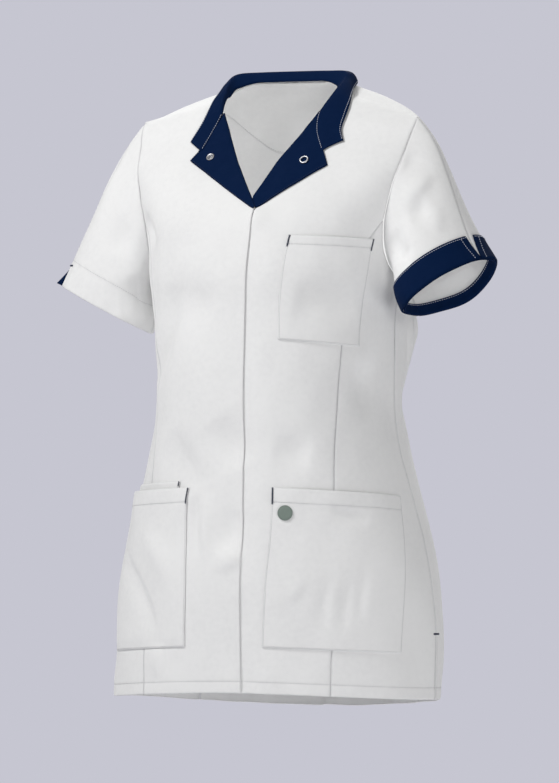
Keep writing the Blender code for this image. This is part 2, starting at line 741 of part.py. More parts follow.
def collar_line(share, key):
    """A point on one of the collar's lines. share runs from -1, the right end, to 1, the left."""
    count = len(COLLAR_LEFT) - 1
    side = -1 if share < 0 else 1
    place = (1 - abs(share)) * count
    k = min(int(place), count - 1)
    t = place - k

    def station(i):
        if i > count:
            return Vector(station_place(2 * count - i, key, -side))
        return Vector(station_place(max(i, 0), key, side))

    before, here, there, after = (station(k + i) for i in (-1, 0, 1, 2))
    if k == 0:
        before = here * 2 - there
    m0 = (there - before) * 0.5
    m1 = (after - here) * 0.5
    point = here * (2 * t**3 - 3 * t**2 + 1) + m0 * (t**3 - 2 * t**2 + t)
    return point + there * (3 * t**2 - 2 * t**3) + m1 * (t**3 - t**2)


def collar_point(share, across):
    """across is 0 at the inner edge, 0.4 at the roll and 1 at the outer edge."""
    inner = collar_line(share, "inner")
    roll = collar_line(share, "roll")
    outer = collar_line(share, "outer")
    if across < 0.4:
        t = across / 0.4
        lean = (outer - inner) * 0.10
        return inner * (1 - t) ** 2 + (roll - lean) * 2 * t * (1 - t) + roll * t * t
    t = (across - 0.4) / 0.6
    lean = (outer - inner) * COLLAR_FALL
    return roll * (1 - t) ** 2 + (roll + lean) * 2 * t * (1 - t) + outer * t * t


def collar_pair(share, across):
    d = 0.01
    point = collar_point(share, across)
    round_it = collar_point(min(share + d, 1), across) - collar_point(max(share - d, -1), across)
    over = collar_point(share, min(across + 0.03, 1)) - collar_point(share, max(across - 0.03, 0))
    away = round_it.cross(over).normalized()
    outside = Vector((point.x, point.y - 0.01, 0.02)).normalized()
    hint = outside if across > 0.4 else -outside
    if abs(share) > 0.7 or 0.25 < across < 0.55:
        hint = Vector((0.3 * point.x / 0.08, -0.4 if abs(share) > 0.7 else 0.0, 1))
    if away.dot(hint) < 0:
        away.negate()
    return point, point - away * CLOTH


def build_collar(navy, collection):
    shares = spread(-1, 1, 31)
    acrosses = [0.0, 0.20, 0.34, 0.40, 0.45, 0.54, 0.66, 0.83, 1.0]
    wall("collar", collar_pair, shares, acrosses, navy, collection)


def lapel_pair(side, points, tuck):
    """One lapel, from its roll line (v 0) out to its free edge (v 1), gorge (u 0) to foot (u 1)."""
    roll = RIGHT_ROLL if side < 0 else LEFT_ROLL

    def gorge(v):
        """The collar's own edge along the gorge, from the roll line (0) to the notch (1)."""
        return collar_line(side * (1 - 2 * (1 - v) / (len(COLLAR_LEFT) - 1)), "inner")

    top = gorge(0)
    notch = gorge(1)

    def place(u, v):
        z_in = top.z - GORGE_GAP + (points.foot_z + 0.0015 - top.z) * u
        level_in = level_at("front", 0.03, z_in)
        x_in = roll_x(roll, level_in)
        if side > 0:
            x_in = max(x_in, right_front_edge(level_in) + 0.0008)
        x_in += side * 0.0004
        if u < NOTCH_SHARE:
            t = u / NOTCH_SHARE
            x_out = notch.x + (side * points.tip_x - notch.x) * t
            z_out = notch.z - GORGE_GAP + (points.tip_z - notch.z) * t
        else:
            t = (u - NOTCH_SHARE) / (1 - NOTCH_SHARE)
            x_out = side * points.tip_x * (1 - t) + points.foot_x * t
            z_out = points.tip_z * (1 - t) + points.foot_z * t
        bend = (gorge(v) - top.lerp(notch, v)) * (1 - u) ** 3
        x = x_in + (x_out - x_in) * v + bend.x - side * GORGE_GAP * 0.6 * (1 - u)
        return x, z_in + (z_out - z_in) * v + bend.z

    def pair(u, v):
        x, z = place(u, v)
        level = level_at("front", x, z)
        angle = angle_at("front", x, level)
        out = LAPEL_GAP + CLOTH + (tuck(angle, level) if tuck else 0.0)
        return on_body("front", angle, level, out), on_body("front", angle, level, out - CLOTH)

    return pair


def build_lapels(navy, collection):
    us = spread(0, NOTCH_SHARE, 3) + spread(NOTCH_SHARE, 1, 9)[1:]
    vs = spread(0, 1, 6)
    wall("lapel_right", lapel_pair(-1, RIGHT_LAPEL, None), us, vs, navy, collection)
    wall("lapel_left", lapel_pair(1, LEFT_LAPEL, tuck_under), us, vs, navy, collection)


def build_facing(cloth, collection):
    """The half-moon facing inside the back, under the collar."""

    def pair(u, v):
        x = FACING_HALF_WIDTH * u
        foot = FACING_FOOT + (FACING_END - FACING_FOOT) * abs(u) ** 2.4
        top = neck_top(x) - 0.0005
        level = foot + (top - foot) * v
        angle = angle_at("back", x, level)
        out = -CLOTH - FACING_GAP
        return on_body("back", angle, level, out), on_body("back", angle, level, out - CLOTH)

    wall("back_neck_facing", pair, spread(-1, 1, 17), FACING_ROWS, cloth, collection)


def pocket_pair(side, pocket, base):
    """A patch pocket. base is the height of what it lies on; its mouth stands off in the middle."""

    def pair(u, v):
        low = pocket.foot_in + (pocket.top_in - pocket.foot_in) * v
        high = pocket.foot_out + (pocket.top_out - pocket.foot_out) * v
        foot = pocket.foot_in_level + (pocket.foot_out_level - pocket.foot_in_level) * u
        top = pocket.top_in_level + (pocket.top_out_level - pocket.top_in_level) * u
        level = foot + (top - foot) * v
        angle = side * (low + (high - low) * u)
        out = base + LAYER_GAP + pocket.gape * math.sin(math.pi * u) * v**2 + CLOTH
        return on_body("front", angle, level, out), on_body("front", angle, level, out - CLOTH)

    return pair


def build_pockets(cloth, collection):
    wide = spread(0, 1, 10)
    narrow = spread(0, 1, 9)
    tall = spread(0, 1, 8)
    low = spread(0, 1, 5)
    wall("chest_pocket", pocket_pair(1, CHEST_POCKET, 0.0003), narrow, narrow, cloth, collection)
    wall("hip_pocket_left", pocket_pair(1, HIP_POCKET_LEFT, 0.0), wide, tall, cloth, collection)
    wall("inner_pocket_right", pocket_pair(-1, INNER_POCKET, 0.0), narrow, low, cloth, collection)
    over_inner = CLOTH + LAYER_GAP
    wall("hip_pocket_right", pocket_pair(-1, HIP_POCKET_RIGHT, over_inner), wide, tall, cloth, collection)


def set_on(obj, point, normal):
    """Stands an object on a point with its Z axis along the normal."""
    turn = Vector((0, 0, 1)).rotation_difference(normal)
    obj.matrix_world = Matrix.Translation(point) @ turn.to_matrix().to_4x4()


def disc(name, radius, thickness, mat, collection):
    form = bmesh.new()
    bmesh.ops.create_cone(
        form, cap_ends=True, segments=20, radius1=radius, radius2=radius * 0.92, depth=thickness
    )
    mesh = bpy.data.meshes.new(name)
    form.to_mesh(mesh)
    form.free()
    mesh.shade_smooth()
    mesh.set_sharp_from_angle(angle=math.radians(40))
    return add_object(name, mesh, mat, collection)


def ring(name, mat, collection):
    bpy.ops.mesh.primitive_torus_add(
        major_segments=18, minor_segments=6, major_radius=RING_MAJOR, minor_radius=RING_MINOR
    )
    obj = bpy.context.object
    obj.name = name
    obj.data.name = name
    obj.data.materials.append(mat)
    for owner in list(obj.users_collection):
        owner.objects.unlink(obj)
    collection.objects.link(obj)
    obj.data.shade_smooth()
    return obj


def build_trims(silver, sage, collection):
    on_lapel = LAPEL_GAP + LAYER_GAP + CLOTH
    places = {}
    for name, x, z in (("right", -SNAP_X, SNAP_Z_RIGHT), ("left", SNAP_X, SNAP_Z_LEFT)):
        level = level_at("front", x, z)
        places[name] = (angle_at("front", x, level), level)
    stud = disc("snap_stud", SNAP_RADIUS, SNAP_THICKNESS, silver, collection)
    angle, level = places["right"]
    out = on_lapel + 0.0003 + SNAP_THICKNESS / 2
    set_on(stud, on_body("front", angle, level, out), body_normal("front", angle, level))
    socket = ring("snap_ring", silver, collection)
    angle, level = places["left"]
    out = on_lapel + 0.0003 + RING_MINOR
    set_on(socket, on_body("front", angle, level, out), body_normal("front", angle, level))
    tab = disc("pocket_tab", TAB_RADIUS, TAB_THICKNESS, sage, collection)
    height = on_lapel + 0.0009 + TAB_THICKNESS / 2
    set_on(tab, on_body("front", TAB_ANGLE, TAB_LEVEL, height), body_normal("front", TAB_ANGLE, TAB_LEVEL))


def main():
    clear_scene()
    collection = bpy.data.collections.new(OBJECT_NAME)
    bpy.context.scene.collection.children.link(collection)
    cloth = material("white_cloth", WHITE, 0.85)
    navy = material("navy_cloth", NAVY, 0.80)
    silver = material("snap_metal", SILVER, 0.35, 1.0)
    sage = material("tab_woven", SAGE, 0.75)
    build_fronts(cloth, collection)
    build_back(cloth, collection)
    build_sleeves(cloth, navy, collection)
    build_collar(navy, collection)
    build_lapels(navy, collection)
    build_facing(cloth, collection)
    build_pockets(cloth, collection)
    build_trims(silver, sage, collection)


main()
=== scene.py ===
"""Looks of the medical tunic: fine cloth shells laid on the part's own form, with creases, seams,
stitching, bar tacks, snaps and tab, on a pale floor in soft studio light.

Metres, +Z up. The front faces -Y and the wearer's left is +X.
"""
import math

import bmesh
import bpy
import numpy as np
from bpy.props import FloatProperty, FloatVectorProperty, PointerProperty
from mathutils import Matrix, Vector


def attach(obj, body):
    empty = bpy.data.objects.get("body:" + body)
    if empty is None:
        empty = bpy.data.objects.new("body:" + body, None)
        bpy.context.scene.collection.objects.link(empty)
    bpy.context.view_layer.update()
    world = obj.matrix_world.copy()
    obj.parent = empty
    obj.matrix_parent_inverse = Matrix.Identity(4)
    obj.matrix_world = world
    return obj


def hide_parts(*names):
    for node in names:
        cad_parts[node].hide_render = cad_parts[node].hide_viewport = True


bl_info = {
    "name": "Medical Tunic Looks",
    "version": (1, 0, 0),
    "blender": (4, 5, 0),
    "location": "3D View > Sidebar > Tunic",
    "description": "Lays the fine cloth, sewing and trims of a medical tunic on its part",
    "category": "Object",
}

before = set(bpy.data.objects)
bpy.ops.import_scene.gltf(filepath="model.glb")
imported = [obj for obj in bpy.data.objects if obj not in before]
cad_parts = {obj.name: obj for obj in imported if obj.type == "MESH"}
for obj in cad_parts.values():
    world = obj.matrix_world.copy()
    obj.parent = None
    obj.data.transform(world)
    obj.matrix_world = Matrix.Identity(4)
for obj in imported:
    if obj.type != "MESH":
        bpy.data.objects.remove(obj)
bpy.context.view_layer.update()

# Heights and edges of the body form, in metres
HEM = -0.711
ARMPIT = -0.212
RIDGE = -0.026
SLIT_TOP = -0.634
V_BOTTOM = -0.134
SEAM_MEETS_ARMHOLE = -0.1475
BACK_SEAM_TOP = -0.1275
BACK_NECK_LEVEL = -0.0292
NECK_CORNER = 0.0500
NECK_HALF_WIDTH = 0.0742
EDGE_PAST_CENTRE = 0.0198
UNDER_EDGE = -0.020
UNDER_EDGE_TOP = -0.165
LEFT_COMES_OUT = -0.1200
TUCK_DEPTH = 0.0021
SEAM_GAP = 0.00036
LAYER_GAP = 0.00036
SLIT_OPENING = 0.0016
UP = np.array((0.0, 0.0, 1.0))

# Steps that slopes of the body form are taken over, and rounds of finding a place on it
ANGLE_STEP = 0.3
LEVEL_STEP = 0.0008
HALVINGS = 34
ROLL_ROUNDS = 14

# How far seams and folded edges roll in, how wide their roll and the painted shade along them are,
# and how high threads stand over the cloth
SEAM_ROLL = 0.0006
SEAM_REACH = 0.0013
SEAM_SHADE = 0.0014
FOLD_ROLL = 0.0005
FOLD_REACH = 0.0009
FOLD_SHADE = 0.0008
WRAP_REACH = 0.0012
STITCH_REACH = 0.0012
THREAD_RISE = 0.0001
PALE_RISE = 0.0002
TACK_RISE = 0.0004
TACK_HEIGHT = 0.00045
TACK_PITCH = 0.0008
HEM_PULL = 0.0004
EDGE_INSET = 0.0016
EDGE_WRAP = 0.0012

# How far the neck stands up from the shoulder line at each x, in millimetres
NECK = (
    (0, 1.2), (30, 2.1), (50, 4), (64, 4.5), (72.5, 3.2), (83, 1.5), (95, 0), (110, 0),
)

# Roll lines of the lapels: height and x, in millimetres
RIGHT_ROLL = (
    (-131, 19.8), (-76.6, -23.9), (-18.1, -63.2), (-8, -71.2), (4, -74), (30, -74.2),
)
LEFT_ROLL = (
    (-118, 10.7), (-76.6, 26.8), (-18.1, 61.2), (-8, 71), (4, 74), (30, 74.2),
)

# Body sections in millimetres and degrees: level, half width and side y, then the front's and the
# back's centre y, fullness, lift and princess seam
SECTION_ROWS = (
    (-711, 207.3, -2, -143, 1.86, 8.5, 37.9, 126, 1.9, -12, 46),
    (-667, 207, 0, -144, 1.82, 8, 38.5, 144, 1.9, -10, 47),
    (-619, 204.5, 4, -144.5, 1.82, 7, 39.2, 157, 1.9, -7, 48.5),
    (-571, 198.3, 8, -144, 1.86, 4, 40.2, 159, 1.92, -4, 50.5),
    (-524, 187, 11, -139, 1.98, 2, 41.6, 154, 2, -2, 53.5),
    (-461, 167.5, 11.3, -136, 2.15, 0, 44.5, 147, 2.15, 0, 59),
    (-417, 155.5, 11.5, -136.2, 2.2, 0, 48, 137, 2.2, 0, 64),
    (-375, 148.5, 12, -136.5, 2.2, 0, 51.3, 124, 2.2, 0, 68),
    (-333, 148, 11.2, -135, 2.24, 0, 52.4, 133, 2.25, 0, 68),
    (-286, 149.5, 9, -131.8, 2.25, 0, 53.6, 144, 2.35, 0, 67),
    (-250, 153, 5.5, -130.2, 2.1, 0, 55.5, 144, 2.25, 0, 67),
    (-212, 159, 4, -128.5, 2.03, 0, 57.5, 140, 2.15, 0, 67.5),
    (-180, 162, 4, -121.5, 2.02, 0, 60.5, 136, 2.1, 0, 69),
    (-145, 169, 3, -110, 2.08, 0, 69, 130, 2.06, 0, 72),
    (-110, 180, 2, -86, 2.2, 0, 80, 121, 2.04, 4, 80),
    (-80, 188, 1, -57, 2.4, 6, 85, 108, 2, 14, 85),
    (-55, 191, 0.5, -30, 2.2, 20, 88, 90, 2, 30, 88),
    (-38, 190, 0, -9, 2.1, 34.5, 88, 68, 2, 47, 88),
    (-29, 188, 0, 11, 2, 42.5, 88, 44, 2, 52.5, 88),
    (-26, 187, 0, 24, 2, 45, 88, 24, 2, 45, 88),
)
SECTION_UNITS = (1000, 1000, 1000, 1000, 1, 1000, 1, 1)
FRONT_FLAT = 1.6
BACK_FLAT = 2.2

# Armholes: level in millimetres, then the seam's angle in front and behind
ARMHOLE = (
    (-212, 90, 90),
    (-209.5, 85, 86),
    (-203, 80, 83),
    (-188, 74.6, 79.5),
    (-161, 70.3, 76.5),
    (-130, 67.6, 74.5),
    (-100, 65.2, 73),
    (-70, 65.2, 72),
    (-50, 67.5, 72),
    (-35, 71.5, 73),
    (-28, 74.3, 74.6),
    (-26, 75.2, 75.2),
)


def lerp(a, b, t):
    return a + (b - a) * t


def ease(start, end, value):
    """0 at the start, 1 at the end, with a soft beginning and end."""
    t = np.clip((np.asarray(value, float) - start) / (end - start), 0.0, 1.0)
    return t * t * (3 - 2 * t)


def unit(vectors):
    return vectors / np.maximum(np.linalg.norm(vectors, axis=-1, keepdims=True), 1e-12)


def dot(a, b):
    return (a * b).sum(axis=-1)


def stack(x, y, z):
    return np.stack(np.broadcast_arrays(x, y, z), axis=-1)


def match(*values):
    """The values as arrays of one shape."""
    return np.broadcast_arrays(*(np.asarray(value, float) for value in values))


def facing(ways, outward):
    """The same ways, turned round where they point inwards."""
    return np.where((dot(ways, outward) < 0)[..., None], -ways, ways)


def lengths_along(points):
    """Each point's distance along a run, from its first point."""
    return np.concatenate([[0.0], np.cumsum(np.linalg.norm(np.diff(points, axis=0), axis=1))])


def smooth_points(chain, t):
    """Points on a smooth curve through a chain, t from 0 at its second point."""
    k = np.minimum(t.astype(int), len(chain) - 4)
    a, b, c, d = (chain[k + step] for step in range(4))
    t = (t - k)[..., None]
    return b + 0.5 * t * (c - a + t * (2 * a - 5 * b + 4 * c - d + t * (3 * (b - c) + d - a)))


def extended(points):
    """A chain with one more point at each end."""
    points = np.asarray(points, float)
    return np.concatenate([[2 * points[0] - points[1]], points, [2 * points[-1] - points[-2]]])


class Table:
    """Rows of sizes against a level, read along smooth curves; units divide the columns."""

    def __init__(self, rows, units):
        data = np.array(rows, float) / units
        self.levels = data[:, 0]
        self.columns = data[:, 1:]
        self.slopes = np.gradient(self.columns, self.levels, axis=0)

    def read(self, level):
        level = np.asarray(level, float)
        k = np.clip(np.searchsorted(self.levels, level) - 1, 0, len(self.levels) - 2)
        span = (self.levels[k + 1] - self.levels[k])[..., None]
        t = np.clip((level - self.levels[k])[..., None] / span, 0.0, 1.0)
        low = (2 * t**3 - 3 * t**2 + 1) * self.columns[k] + (t**3 - 2 * t**2 + t) * span * self.slopes[k]
        high = (3 * t**2 - 2 * t**3) * self.columns[k + 1] + (t**3 - t**2) * span * self.slopes[k + 1]
        return np.moveaxis(low + high, -1, 0)


def face_sections(start, flat):
    """The sections of one face, whose own columns start here; the faces meet in the last row."""
    rows = [(*row[:3], *row[start : start + 3], flat, row[start + 3]) for row in SECTION_ROWS]
    rows[-1] = (*rows[-1][:6], FRONT_FLAT, rows[-1][7])
    return Table(rows, SECTION_UNITS)


SECTIONS = {"front": face_sections(3, FRONT_FLAT), "back": face_sections(7, BACK_FLAT)}
ARMHOLES = Table(ARMHOLE, (1000, 1, 1))
NECK_RISE = Table(NECK, 1000)


def neck_rise(x, level):
    return NECK_RISE.read(np.abs(x))[0] * ease(-0.048, -0.030, level)


def angle_at(face, x, level):
    """The angle round from the centre line where the body form has this x."""
    half_width, _, _, fullness = SECTIONS[face].read(level)[:4]
    across = np.minimum(np.abs(x) / half_width, 1.0)
    return np.copysign(np.degrees(np.arcsin(across ** (fullness / 2))), x)


def body(face, angle, level):
    """Places on the body form, for angles in degrees and levels."""
    half_width, side_y, centre_y, fullness, lift, flat, _ = SECTIONS[face].read(level)
    turn = np.radians(np.abs(angle))
    across = np.clip(np.sin(turn), 0.0, None) ** (2 / fullness)
    deep = np.clip(np.cos(turn), 0.0, None) ** (2 / fullness)
    x = np.copysign(half_width * across, angle)
    y = side_y + (centre_y - side_y) * deep
    return stack(x, y, level + lift * (1 - across**flat) + neck_rise(x, level))


def body_normals(face, angle, level):
    """The ways out of the body form."""
    angle, level = match(angle, level)
    along = body(face, angle + ANGLE_STEP, level) - body(face, angle - ANGLE_STEP, level)
    above, below = np.minimum(level + LEVEL_STEP, RIDGE), np.maximum(level - LEVEL_STEP, HEM)
    normals = unit(np.cross(along, body(face, angle, above) - body(face, angle, below)))
    middle = stack(0.0, 0.01, np.minimum(level - 0.02, -0.06))
    normals = facing(normals, body(face, angle, level) - middle)
    ridge = facing(unit(np.cross(along, stack(0.0, 1.0, 0.0))), UP)
    return unit(lerp(normals, ridge, ease(RIDGE - 0.0012, RIDGE, level)[..., None]))


def gap_angle(face, angle, level, gap):
    """A width along the section as an angle."""
    near = np.where(angle > 1, angle - 0.5, angle + 0.5)
    width = np.linalg.norm(body(face, angle, level) - body(face, near, level), axis=-1)
    return 0.5 * gap / np.maximum(width, 1e-6)


def level_at(face, x, reach):
    """The level where the body form has this x and, in front, this height or, behind, this y."""
    x, reach = match(x, reach)
    low = np.full(x.shape, HEM if face == "front" else -0.110)
    high = np.full(x.shape, RIDGE)
    for _ in range(HALVINGS):
        level = (low + high) / 2
        place = body(face, angle_at(face, x, level), level)
        short = place[..., 2] < reach if face == "front" else place[..., 1] > reach
        low = np.where(short, level, low)
        high = np.where(short, high, level)
    return (low + high) / 2


def roll_x(roll, level):
    """The x where a roll line crosses the front at each level."""
    heights, places = np.array(roll).T / 1000
    x = np.full(np.shape(level), places[1])
    for _ in range(ROLL_ROUNDS):
        z = body("front", angle_at("front", x, level), level)[..., 2]
        x = np.interp(z, heights, places)
    return x


def right_front_edge(level):
    return np.where(level <= V_BOTTOM, EDGE_PAST_CENTRE, roll_x(RIGHT_ROLL, np.maximum(level, V_BOTTOM)))


def left_front_edge(level):
    comes_out = roll_x(LEFT_ROLL, np.array([LEFT_COMES_OUT]))[0]
    share = np.clip((level - UNDER_EDGE_TOP) / (LEFT_COMES_OUT - UNDER_EDGE_TOP), 0.0, 1.0)
    under = UNDER_EDGE + (comes_out - UNDER_EDGE) * share
    return np.where(level > LEFT_COMES_OUT, roll_x(LEFT_ROLL, np.maximum(level, LEFT_COMES_OUT)), under)


def tuck_under(places, level):
    """How far the left front lies under the right one."""
    return -TUCK_DEPTH * ease(0.042, 0.0225, places[..., 0]) * ease(-0.085, -0.105, level)


def neck_top(x):
    return BACK_NECK_LEVEL + (RIDGE - BACK_NECK_LEVEL) * ease(NECK_CORNER, NECK_HALF_WIDTH, np.abs(x))


def armhole_angle(face, level):
    return ARMHOLES.read(level)[0 if face == "front" else 1]


def princess_angle(face, level):
    return SECTIONS[face].read(level)[6]


# Creases: their line as angle and level, depth (below 0 is a trough), and their width on each
# side of the line, in millimetres
BODY_CREASES = {
    "front": (
        (((-62, -136), (-56, -155), (-50, -173)), -6.9, 8, 14),
        (((-33, -215), (-40, -287), (-58, -345)), -8.5, 20, 16),
        (((-70, -250), (-66, -300), (-66, -350)), -8.5, 16, 20),
        (((-33, -395), (-21, -435), (-13, -470)), -7.8, 20, 30),
        (((-13.5, -470), (-13.2, -507), (-13, -549)), -4.4, 7, 7),
        (((-6, -380), (0.2, -409), (6, -440)), -8.5, 24, 26),
        (((-9, -464), (-8.8, -513), (-8.6, -556)), 4.4, 7, 10),
        (((2.4, -485), (1.2, -515), (-1.5, -543)), -6.6, 15, 15),
        (((-4.2, -562), (1.5, -553), (7, -544)), 4.8, 16, 8),
        (((-61, -539), (-44, -573), (-35, -612), (-31, -640)), -5.7, 7, 18),
        (((-42, -520), (-30, -545), (-24, -580)), 4.1, 14, 16),
        (((58, -334), (66, -340), (76, -348)), -8.2, 26, 28),
        (((55, -303), (62, -306), (70, -310)), 2.5, 16, 16),
        (((18, -418), (27, -420), (37, -423)), -5.8, 22, 22),
        (((6.5, -128), (8, -141), (9.4, -160)), 5.8, 8, 12),
        (((-28, -650), (-29, -675), (-30, -695)), 4.4, 4, 20),
        (((28, -236), (45, -243), (60, -238)), -6.1, 24, 30),
        (((-36, -226), (-16, -243), (-3, -240)), -5.8, 24, 34),
        (((31, -569), (27, -587), (23.8, -604)), 2.5, 6, 12),
        (((39, -566), (37, -596), (35.5, -633)), -2.8, 6, 12),
        (((46.2, -571), (44.2, -602), (42.5, -638)), -2.5, 6, 11),
        (((52.2, -560), (49.8, -595), (48, -625)), -2.2, 6, 10),
        (((40, -487), (48, -492), (58, -498)), -3.7, 6, 12),
    ),
    "back": (
        (((46, -262), (62, -282), (76, -286)), 12.5, 36, 40),
        (((50, -352), (66, -358), (80, -360)), -4, 20, 20),
        (((-40, -330), (-20, -372), (0, -385), (20, -374)), -4.5, 16, 26),
        (((44, -318), (24, -345), (4, -352)), -3.5, 14, 22),
        (((-30, -425), (-14, -410), (6, -417)), -3, 14, 24),
        (((-78, -260), (-62, -300), (-48, -325)), -4, 14, 24),
        (((76, -250), (62, -290), (48, -320)), -4.5, 14, 26),
        (((-66, -150), (-58, -200), (-54, -240)), -2.8, 12, 20),
        (((64, -140), (57, -190), (54, -235)), -3, 12, 20),
        (((-20, -520), (-24, -600), (-27, -690)), 3, 18, 26),
        (((22, -540), (28, -620), (31, -700)), 2.8, 18, 28),
    ),
}
CREASE_POINTS = 10


def curve_through(points):
    """A smooth run of points through a few."""
    return smooth_points(extended(points), np.linspace(0, len(points) - 1, CREASE_POINTS))


def crease_height(places, normals, line, depth, one_side, other_side):
    """How far one crease moves the cloth in or out; line is its run of points."""
    best = np.full(places.shape[:-1], 1e9)
    side = np.zeros(places.shape[:-1])
    share = np.zeros(places.shape[:-1])
    starts = lengths_along(line)
    for k, length in enumerate(np.diff(starts)):
        way = (line[k + 1] - line[k]) / length
        away = places - line[k]
        along = np.clip(dot(away, way), 0.0, length)
        off = away - along[..., None] * way
        distance = np.linalg.norm(off, axis=-1)
        nearer = distance < best
        best = np.where(nearer, distance, best)
        side = np.where(nearer, dot(np.cross(way, off), normals), side)
        share = np.where(nearer, (starts[k] + along) / starts[-1], share)
    width = np.where(side > 0, one_side, other_side)
    taper = np.sin(np.pi * np.clip(share, 0.03, 0.97)) ** 0.8
    return depth * taper * np.exp(-((best / width) ** 2))


def body_rumple(face, places, normals):
    """The soft creases and the slight unevenness of the body's cloth."""
    height = np.zeros(places.shape[:-1])
    for line, *shape in BODY_CREASES[face]:
        angles, levels = np.array(line, float).T
        run = curve_through(body(face, angles, levels / 1000))
        height += crease_height(places, normals, run, *np.array(shape) / 1000)
    x, y, z = np.moveaxis(places, -1, 0)
    around = np.arctan2(x, -y) * 0.16
    loose = ease(-0.24, -0.40, z)
    height += 0.0007 * np.sin(around * 46 + z * 9 + 0.7) * np.sin(z * 31 + around * 12) * (0.5 + loose)
    height += 0.0004 * np.sin(around * 118 - z * 23 + 1.9) * np.sin(z * 57 + 0.4)
    hem = ease(-0.672, -0.700, z - 0.010)
    height += hem * 0.0014 * np.sin(around * 88 + 1.1 + 2 * np.sin(around * 19)) * np.sin(around * 23 + 0.3)
    return height


def on_body(face, angle, level, out=0.0, tuck=False):
    """Places and ways out on the body's cloth as it lies on the wearer."""
    angle, level = match(angle, level)
    places = body(face, angle, level)
    normals = body_normals(face, angle, level)
    lift = out + body_rumple(face, places, normals)
    if tuck:
        lift = lift + tuck_under(places, level)
    places = places + normals * lift[..., None]
    places[..., 1] += np.where(level > RIDGE - 1e-6, SEAM_GAP * (-0.6 if face == "front" else 0.6), 0.0)
    return places, normals


# The ways in which a sleeve leaves the armhole, over and under the arm
LEAVES_OVER = np.array((0.70, 0.0, -0.71))
LEAVES_UNDER = np.array((0.62, 0.0, -0.78))


class Sleeve:
    """A sleeve from its armhole to its hem. turn is 0 at the over-arm seam, 0.5 under the arm
    by way of the front, and 1 back at the over-arm seam by way of the back."""

    def __init__(self, side, middle, to_overarm, to_front, axis, bulges, creases):
        self.side = side
        self.bulges = bulges
        self.middle, self.to_overarm, self.to_front = np.array([middle, to_overarm, to_front])
        self.axis = unit(np.array(axis))
        self.runs = {face: self.armhole_run(face) for face in ("front", "back")}
        self.creases = [
            (curve_through(self.base(*np.array(line, float).T)), *np.array(shape) / 1000)
            for line, *shape in creases
        ]

    def armhole_run(self, face):
        levels = np.linspace(RIDGE, ARMPIT, 160)
        angle = self.side * armhole_angle(face, levels)
        step = self.side * ANGLE_STEP
        way = unit(body(face, angle + step, levels) - body(face, angle - step, levels))
        low = np.clip((levels - ARMPIT) / 0.012, 0.0, 1.0)[:, None]
        way = unit(way * low + UP * (1 - low))
        points = body(face, angle, levels) + way * SEAM_GAP * 1.6
        lengths = lengths_along(points)
        return lengths / lengths[-1], points

    def start(self, turn):
        share = 2 * np.minimum(turn, 1 - turn)
        ends = []
        for face in ("front", "back"):
            shares, points = self.runs[face]
            ends.append(stack(*(np.interp(share, shares, points[:, k]) for k in range(3))))
        return np.where((turn <= 0.5)[..., None], *ends)

    def base(self, turn, down):
        turn, down = match(np.asarray(turn, float) % 1.0, down)
        start = self.start(turn)
        a = 2 * np.pi * turn[..., None]
        end = self.middle + self.to_overarm * np.cos(a) + self.to_front * np.sin(a)
        for at, width, move in self.bulges:
            end = end + np.exp(-(((turn[..., None] - at) / width) ** 2)) * np.array(move)
        chord = np.linalg.norm(end - start, axis=-1, keepdims=True) * 0.95
        under = 0.5 - 0.5 * np.cos(a)
        flip = np.array((self.side, 1, 1))
        leave = unit(lerp(LEAVES_OVER, LEAVES_UNDER, under) * flip) * chord
        t = down[..., None]
        blend = start * (2 * t**3 - 3 * t**2 + 1) + leave * (t**3 - 2 * t**2 + t)
        return blend + end * (3 * t**2 - 2 * t**3) + self.axis * chord * (t**3 - t**2)

    def normals(self, turn, down):
        step = 0.004
        around = self.base(turn + step, down) - self.base(turn - step, down)
        along = self.base(turn, np.minimum(down + step, 1)) - self.base(turn, np.maximum(down - step, 0))
        normals = unit(np.cross(around, along))
        centre = lerp(np.array((self.side * 0.165, 0.0, -0.12)), self.middle, np.asarray(down)[..., None])
        return facing(normals, self.base(turn, down) - centre)

    def place(self, turn, down, out=0.0):
        """Places and ways out on the sleeve's cloth as it lies on the wearer."""
        turn, down = match(turn, down)
        places = self.base(turn, down)
        normals = self.normals(turn, down)
        lift = np.zeros(turn.shape) + out
        for crease in self.creases:
            lift = lift + crease_height(places, normals, *crease)
        around = turn * 2 * np.pi
        soft = 0.0006 * ease(0.02, 0.2, down) * np.sin(around * 3 + down * 4 + self.side)
        lift = lift + soft * np.sin(down * 9 + around * 2)
        hem = 0.0010 * ease(0.86, 0.97, down) * np.sin(around * (8 - 3 * self.side) + 0.6)
        lift = lift + hem * np.sin(around * 3 + 1.2 * self.side)
        return places + normals * lift[..., None], normals

    def down_at(self, turn, distance):
        """How far down the sleeve a line lies that keeps this distance from the sleeve's end."""
        span = np.linalg.norm(self.base(turn, 1.0) - self.base(turn, 0.8), axis=-1)
        return 1 - 0.2 * distance / span

    def round_it(self, down):
        """The way round the sleeve, in metres."""
        return lengths_along(self.base(np.linspace(0, 1, 49), down))[-1]


